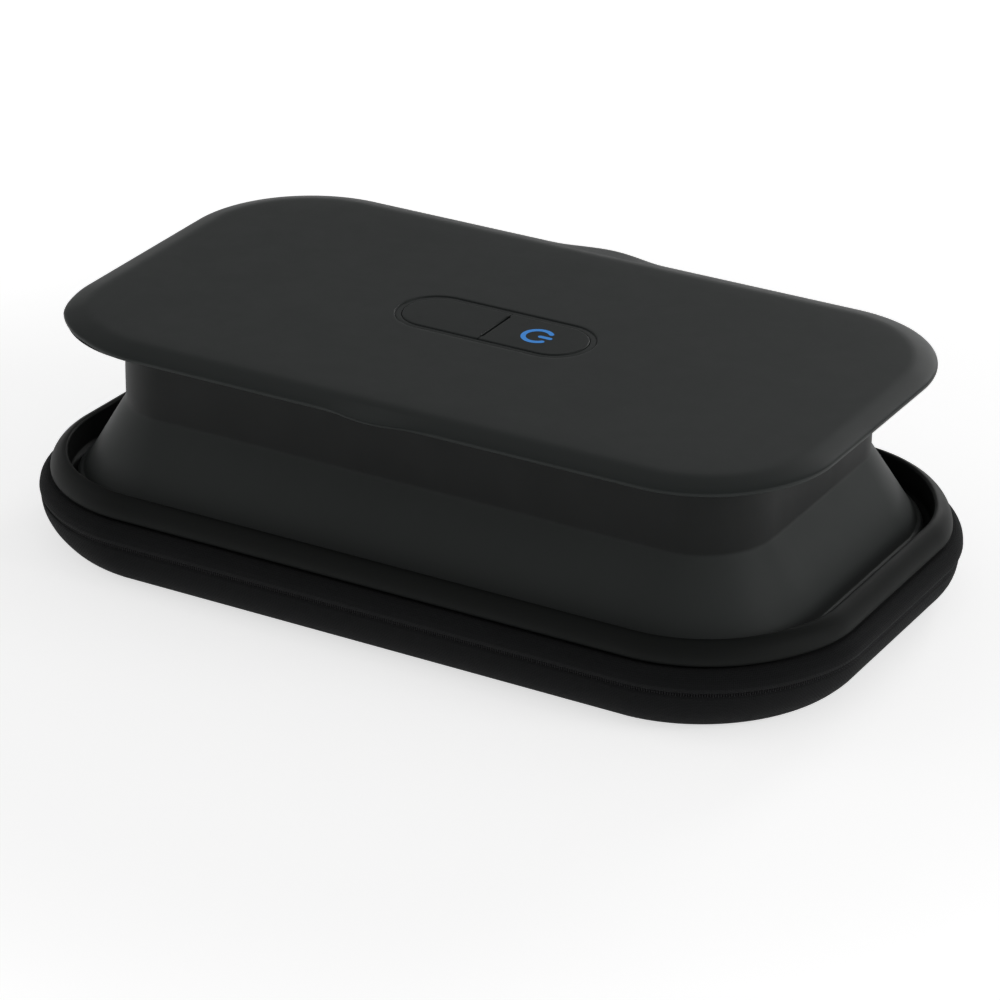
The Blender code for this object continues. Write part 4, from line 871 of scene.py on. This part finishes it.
def teeth(name, track, sign, edge):
    """Rounded teeth, each with a wider head that locks between its two neighbours opposite."""
    clear = 0.4
    start = TOOTH_START + TOOTH_PITCH / 2
    if sign < 0:
        nearest = track[0, RUN] + clear
        start = nearest + (TOOTH_START - nearest) % TOOTH_PITCH
    places = np.arange(start, track[-1, RUN] - 0.3, TOOTH_PITCH)
    angles = [2 * math.pi * k / TOOTH_SIDES for k in range(TOOTH_SIDES)]
    swell = seam_swell(track)
    points, faces = [], []
    for s in places:
        cx, cy, nx, ny = (np.interp(s, track[:, RUN], track[:, i]) for i in (CX, CY, NX, NY))
        size = np.hypot(nx, ny)
        nx, ny = nx / size, ny / size
        faces += bridged(len(TOOTH_RINGS), TOOTH_SIDES, len(points))
        middle = FULL - TOOTH_INSET + np.interp(s, track[:, RUN], swell)
        for rise, half in TOOTH_RINGS:
            deep = 0.42 + 0.5 * half
            for t in angles:
                along = half * softened(math.cos(t), 0.8)
                out = middle + deep * softened(math.sin(t), 0.8)
                points.append((cx + nx * out + ny * along, cy + ny * out - nx * along,
                               edge - sign * rise))
    return facing_out(mesh_object(name, points, faces))


def box(name, xs, ys, zs, edge):
    """A block between pairs of places, with rounded edges."""
    bm = bmesh.new()
    bmesh.ops.create_cube(bm, size=1.0)
    for v in bm.verts:
        v.co = Vector([(a + b) / 2 + c * (b - a) for (a, b), c in zip((xs, ys, zs), v.co)]) * MM
    obj = from_bmesh(name, bm)
    mod = obj.modifiers.new("edge", "BEVEL")
    mod.width = edge * MM
    mod.segments = 3
    mod.limit_method = "ANGLE"
    mod.angle_limit = math.radians(35)
    graph = bpy.context.evaluated_depsgraph_get()
    mesh = bpy.data.meshes.new_from_object(obj.evaluated_get(graph))
    obj.modifiers.clear()
    obj.data = mesh
    return obj


def bent_bar(name, path, half_thick, half_wide, sides=12):
    """A bent bar along a path in an upright plane, wider along X than it is thick."""
    path = np.array(path, float)
    points = []
    for i, p in enumerate(path):
        t = path[min(i + 1, len(path) - 1)] - path[max(i - 1, 0)]
        t /= np.linalg.norm(t)
        n = np.array([0.0, -t[2], t[1]])
        for k in range(sides):
            a = 2 * math.pi * k / sides
            across = np.array([1.0, 0, 0]) * half_wide * math.cos(a)
            points.append(p + across + n * half_thick * math.sin(a))
    return facing_out(mesh_object(name, points, bridged(len(path), sides)))


def box_reach(width, height, corner, angle, drop=0.0):
    """Where a direction leaves a rounded rectangle whose middle lies lower by a drop."""
    c, w = math.cos(angle), math.sin(angle)
    low, high = 0.0, 40.0
    for _ in range(40):
        r = (low + high) / 2
        x, z = abs(r * c), abs(r * w + drop)
        qx, qz = x - width / 2 + corner, z - height / 2 + corner
        out = math.hypot(max(qx, 0), max(qz, 0)) + min(max(qx, qz), 0) - corner
        low, high = (r, high) if out < 0 else (low, r)
    return (low * c, low * w)


def loop_round(centre, reach, steps=48):
    """A loop of points seen from one centre."""
    return np.array([reach(2 * math.pi * k / steps) for k in range(steps)]) + np.array(centre)


def plate(name, outline, hole, front, back, soft):
    """An upright plate with a hole and softened edges, between two depths."""
    centre = hole.mean(0)

    def grown(loop, by):
        away = loop - centre
        return loop + away / np.linalg.norm(away, axis=1)[:, None] * by

    rings = [(grown(outline, -soft), front), (outline, front + soft), (outline, back - soft),
             (grown(outline, -soft), back), (grown(hole, soft), back), (hole, back - soft),
             (hole, front + soft), (grown(hole, soft), front)]
    points = [(x, y, z) for loop, y in rings for x, z in loop]
    faces = bridged(len(rings), len(outline), closed=True)
    return facing_out(mesh_object(name, points, faces))


def make_slider():
    """The slider: a shield with a lip over each row, and a looped bail."""
    x = SLIDER_X
    wide, narrow = (x - 4.5, x + 4.5), (x - 4.3, x + 4.3)
    shield, lip = (65.2, 66.0), (64.33, 65.5)
    root, loop_y, loop_z = 65.6, 65.85, 10.65
    parts = [box("slider_shield", wide, shield, (9.3, 13.4), 0.38),
             box("slider_lip_upper", narrow, lip, (12.75, 13.38), 0.24),
             box("slider_lip_lower", narrow, lip, (9.32, 9.95), 0.24)]
    loop = []
    for t in np.radians(np.linspace(-90, 90, 13)):
        loop.append((loop_y + 2.35 * max(math.cos(t), 0.0) ** 0.55,
                     loop_z + 1.4 * softened(math.sin(t), 0.7)))
    loop = [(root, loop[0][1])] + loop + [(root, loop[-1][1])]
    parts.append(bent_bar("slider_bail", [(x, y, z) for y, z in loop], 0.36, 0.7))
    for piece in parts:
        finished(piece, SLIDER, 50)
        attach(piece, "slider")
        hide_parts("zipper_slider")


def make_pull():
    """The pull: a flat rounded tab that hangs from the bail by its eye."""
    eye = (SLIDER_X, SLIDER_Z)
    hole = loop_round(eye, lambda a: box_reach(2.0, 2.0, 0.6, a))
    tab = loop_round(eye, lambda a: box_reach(4.6, 9.8, 1.3, a, 3.15))
    pull = plate("pull_tab", tab, hole, 66.3, 67.2, 0.18)
    finished(pull, SLIDER, 50)
    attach(pull, "pull")
    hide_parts("zipper_pull")


# Lid cover

def pill_point(direction, half_length, radius):
    """Where a ray from the middle meets a pill shape."""
    dx, dy = direction
    flat = half_length - radius
    if abs(dy) > 1e-9:
        f = radius / abs(dy)
        if abs(dx * f) <= flat:
            return np.array([dx * f, dy * f])
    c = math.copysign(flat, dx)
    b = dx * c
    f = b + math.sqrt(max(b * b - (c * c - radius * radius), 0.0))
    return np.array([dx * f, dy * f])


def finger_tab(track):
    """The outline of the finger tabs at the front and the back, as a share of their reach."""
    x = track[:, CX]
    inside = (np.abs(track[:, NY]) > STRAIGHT) & (np.abs(x) < TAB_HALF)
    return np.where(inside, (1 + np.cos(math.pi * x / TAB_HALF)) / 2, 0.0)


def make_cover():
    """The lid's cover: lip, bevel, finger tabs, the hollow round the panel, and its underside."""
    outer = smooth_run([(7.0, 58.82), (6.66, 58.95), (6.46, 59.25), (6.40, 59.6), (6.50, 59.95),
                        (6.90, 60.25), (7.9, 60.64), (9.4, 61.08), (10.9, 61.46), (12.1, 61.69),
                        (13.6, 61.82), (16.8, 61.88), (20.4, 61.90)])
    under = [(20.4, 60.0), (11.0, 59.7), (8.9, 59.5), (8.5, 59.2), (8.5, 58.9), (8.35, 58.8),
             (7.15, 58.8)]
    shares = np.where(outer[:, 1] < LIP_TOP,
                      table(outer[:, 1], (59.0, 0.93), (LIP_TOP, 1.0)),
                      table(outer[:, 0], (6.42, 1.0), (7.1, 0.85), (8.2, 0.45), (10.1, 0.0)))
    track = COVER_TRACK
    tab = finger_tab(track)
    raised = TAB_LIFT * np.clip(2.5 * tab / tab.max(), 0.0, 1.0)
    turn = np.degrees(np.arctan2(track[:, NY], track[:, NX])) % 360
    trim = table(turn, (90, 0.0), (120, 0.5), (150, 0.7), (180, 0.85), (195, 0.6), (212, 0.0),
                 (228, 0.5), (245, 0.85), (258, 0.5), (270, 0.0))
    loops = []
    for (inset, z), share in zip(outer, shares):
        out = FULL - inset + TAB_OUT * share * tab - trim
        lift = raised * table(z, (58.8, 1.0), (60.3, 0.0))
        loops.append(loop_at(track, out, z + lift))
    top = loops[-1]
    rays = top[:, :2] / np.linalg.norm(top[:, :2], axis=1)[:, None]

    def pill(grow, depth):
        pts = np.array([pill_point(r, PILL_HALF + grow, PILL_R + grow) for r in rays])
        return np.column_stack([pts, np.full(len(pts), CROWN - depth)])

    edge = pill(HOLLOW + 1.0, 0.0)
    loops += [top * (1 - f) + edge * f for f in (0.25, 0.5, 0.72, 0.88)]
    loops.append(edge)
    loops += [pill(HOLLOW + grow, depth) for grow, depth in (
        (0.30, 0.0), (0.14, 0.02), (0.04, 0.07), (0.0, 0.14), (-0.02, 0.34), (-0.08, 0.42),
        (-0.18, 0.42), (-0.26, 0.30), (-0.5, 0.25), (-1.1, 0.23))]
    loops += [pill(grow, depth) for grow, depth in (
        (0.16, 0.23), (0.06, 0.25), (0.0, 0.34), (0.0, 0.60), (0.0, 1.8), (0.3, 1.9))]
    for inset, z in under:
        lift = raised * table(inset, (7.15, 1.0), (8.9, 0.0))
        loops.append(loop_at(track, FULL - inset, z + lift))
    grid = np.stack(loops, 1)
    cover = grid_object("lid_shell", grid, True, track[:, RUN], lengths(grid[0]))
    finished(cover, SOFT, 40)
    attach(cover, "lid")
    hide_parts("lid_cover")


# Key panel

def half_pill(inset, half_length, radius):
    """One end of a pill shape, whose straight side closes up near its two long edges."""
    size, flat = radius - inset, half_length - radius
    near, seam = 0.3 + inset, 0.1 + min(inset, 0.05)
    span = np.linspace(flat, seam + 0.3, 12)[1:]
    upper = [(x, size) for x in span]
    upper += [(seam + 0.08, size - 0.08), (seam, size - 0.3), (seam, size - 1.3),
              (near, size - 2.0)]
    lower = [(x, -y) for x, y in upper[::-1]]
    return arc(flat, 0.0, size, size, -90, 90, 40) + upper + [(near, 0.0)] + lower


def stacked(name, layers, mirror=1):
    """A solid from outlines with equal numbers of points, one above the other."""
    points = [(mirror * x, y, z) for outline, z in layers for x, y in outline]
    return facing_out(mesh_object(name, points, bridged(len(layers), len(layers[0][0]))))


def make_panel():
    """The pill-shaped panel: the key on its right and a plain plate on its left."""
    face = ((0.0, 60.3), (0.0, 61.5), (0.02, 61.64), (0.07, 61.75), (0.16, 61.83),
            (0.28, 61.87), (0.42, 61.88), (0.70, 61.88))
    rest = half_pill(0.0, PILL_HALF + FLANGE_OUT, PILL_R + FLANGE_OUT)
    rest_low, rest_high = 58.92, 59.68
    for name, node, mirror, body in (("panel_key", "power_key", 1, "key"),
                                     ("panel_plate", "badge_plate", -1, "lid")):
        layers = [(half_pill(inset, PILL_HALF - KEY_GAP, PILL_R - KEY_GAP), z)
                  for inset, z in face]
        piece = stacked(name, layers, mirror)
        finished(piece, PANEL, 45)
        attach(piece, body)
        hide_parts(node)
        flange = stacked(name + "_flange", [(rest, rest_low), (rest, rest_high)], mirror)
        finished(flange, INNER, 45)
        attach(flange, body)
    make_symbol()


def broken_ring(cx, radius, half_width, gap, steps=48):
    """A ring with rounded ends, open towards +X by an angle to both sides."""
    mid = radius - half_width
    inner = mid - half_width
    start, end = math.radians(gap), math.radians(360 - gap)
    turns = [start + (end - start) * k / steps for k in range(steps + 1)]

    def rounded_end(turn, first):
        return [(cx + mid * math.cos(turn) + half_width * math.cos(first + math.pi * k / 8),
                 mid * math.sin(turn) + half_width * math.sin(first + math.pi * k / 8))
                for k in range(1, 8)]

    outside = [(cx + radius * math.cos(t), radius * math.sin(t)) for t in turns]
    inside = [(cx + inner * math.cos(t), inner * math.sin(t)) for t in turns[::-1]]
    return outside + rounded_end(end, end) + inside + rounded_end(start, start + math.pi)


def make_symbol():
    """The power sign, a light guide that shows at the key's face."""
    radius, line, gap = 4.2, 0.64, 43
    foot, face = 59.9, 61.91
    ring = broken_ring(SIGN_X, radius, line, gap)
    left, right, half = SIGN_X + 0.2, SIGN_X + 4.1, 0.62
    bar = arc(left + half, 0, half, half, 90, 270, 10)
    bar += arc(right - half, 0, half, half, -90, 90, 10)
    for name, outline in (("power_sign_ring", ring), ("power_sign_bar", bar)):
        piece = stacked(name, [(outline, foot), (outline, face)])
        finished(piece, BLUE, 40)
        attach(piece, "key")
        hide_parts("power_light_guide")


# Nodes that keep their CAD shapes

def dress_nodes():
    """Gives each node that keeps its CAD shape its own material."""
    finishes = {
        INNER: ["lid_base"],
        BOARD: ["main_board", "charge_board", "lamp_board_left", "lamp_board_right"],
        CHIP: ["tact_switch", "tilt_switch", "control_chip", "switch_plunger"],
        LED: ["status_led"],
        CELL: ["battery_cell"],
        FOAM: ["battery_pad"],
        STEEL: ["usb_port", *("lid_screw_%d" % i for i in range(1, 7))],
        MIRROR: ["reflector_left", "reflector_right"],
        GLASS: ["lamp_window_left", "lamp_window_right"],
        EMITTER: ["lamp_emitter_left", "lamp_emitter_right"],
        COIL: ["zipper_stop_left", "zipper_stop_right"],
        WIRE_RED: ["battery_lead", "charge_lead"],
        WIRE_WHITE: ["lamp_lead_left", "lamp_lead_right"],
    }
    for paint, names in finishes.items():
        for name in names:
            NODES[name].material_slots[0].material = paint.mat


# Floor, lamps and camera

def seen(nodes):
    """The light path, and one for rays from the camera, from a mirror or through glass."""
    path = nodes.node("LightPath")
    total = path.outputs["Is Camera Ray"]
    for word in ("Is Glossy Ray", "Is Transmission Ray"):
        total = nodes.maths("MAXIMUM", total, path.outputs[word])
    return path, total


def make_floor():
    """A white floor that keeps the object's shadow."""
    bm = bmesh.new()
    bmesh.ops.create_grid(bm, x_segments=1, y_segments=1, size=FLOOR_HALF)
    floor = from_bmesh("floor", bm)
    floor.location.z = -FLOOR_DROP
    mat = bpy.data.materials.new("floor_white")
    mat.use_nodes = True
    nodes = Nodes(mat.node_tree)
    nodes.tree.nodes.remove(nodes.tree.nodes["Principled BSDF"])
    diffuse = nodes.node("BsdfDiffuse", Color=(0.8, 0.8, 0.8, 1))
    glow = nodes.node("Emission")
    both = nodes.node("AddShader")
    _, fac = seen(nodes)
    far = nodes.node("VectorMath", operation="LENGTH")
    nodes.link(nodes.object_place(), far.inputs[0])
    level = nodes.spread(far.outputs["Value"], *FLOOR_FADE, FLOOR_NEAR, 1.0)
    nodes.link(nodes.maths("MULTIPLY", fac, level), glow.inputs["Strength"])
    nodes.link(diffuse.outputs[0], both.inputs[0])
    nodes.link(glow.outputs[0], both.inputs[1])
    nodes.link(both.outputs[0], nodes.tree.nodes["Material Output"].inputs["Surface"])
    floor.data.materials.append(mat)


def make_surround():
    """A plain white surround that lights the object at a low level."""
    world = bpy.data.worlds.new("studio")
    bpy.context.scene.world = world
    world.use_nodes = True
    nodes = Nodes(world.node_tree)
    back = nodes.tree.nodes["Background"]
    back.inputs["Color"].default_value = (1, 1, 1, 1)
    back.inputs["Strength"].default_value = WORLD_LEVEL
    white = nodes.node("Background", Strength=1.0)
    path, fac = seen(nodes)
    height = nodes.axis(nodes.node("TexCoord").outputs["Generated"], 2)
    low = nodes.spread(height, *WORLD_FADE, 1.0, 0.0)
    shown = nodes.maths("MAXIMUM", path.outputs["Is Camera Ray"],
                        nodes.maths("MULTIPLY", fac, low))
    mix = nodes.node("MixShader")
    for i, output in enumerate((shown, back.outputs[0], white.outputs[0])):
        nodes.link(output, mix.inputs[i])
    nodes.link(mix.outputs[0], nodes.tree.nodes["World Output"].inputs["Surface"])


def aimed(obj, place, aim):
    obj.location = place
    obj.rotation_euler = (Vector(aim) - Vector(place)).to_track_quat("-Z", "Y").to_euler()


def make_lamp(name, place, aim, size, power):
    data = bpy.data.lights.new(name, "AREA")
    data.shape = "RECTANGLE"
    data.size, data.size_y = size
    data.energy = power
    aimed(linked(name, data), place, aim)


def make_camera():
    data = bpy.data.cameras.new("camera")
    data.lens = LENS
    data.sensor_width = SENSOR
    data.clip_start = 0.01
    cam = linked("camera", data)
    aimed(cam, CAMERA_PLACE, CAMERA_AIM)
    bpy.context.scene.camera = cam
    cam.location += cam.rotation_euler.to_matrix() @ Vector((CAMERA_SIDESTEP, 0, 0))


make_camera()
make_tray()
make_lining()
make_side()
make_clamp()
make_rim()
make_wall()
zipper_rows()
make_slider()
make_pull()
make_hinge()
make_cover()
make_panel()
dress_nodes()
make_floor()
make_surround()
for lamp in LAMPS:
    make_lamp(*lamp)
bpy.context.scene.view_settings.view_transform = "Standard"
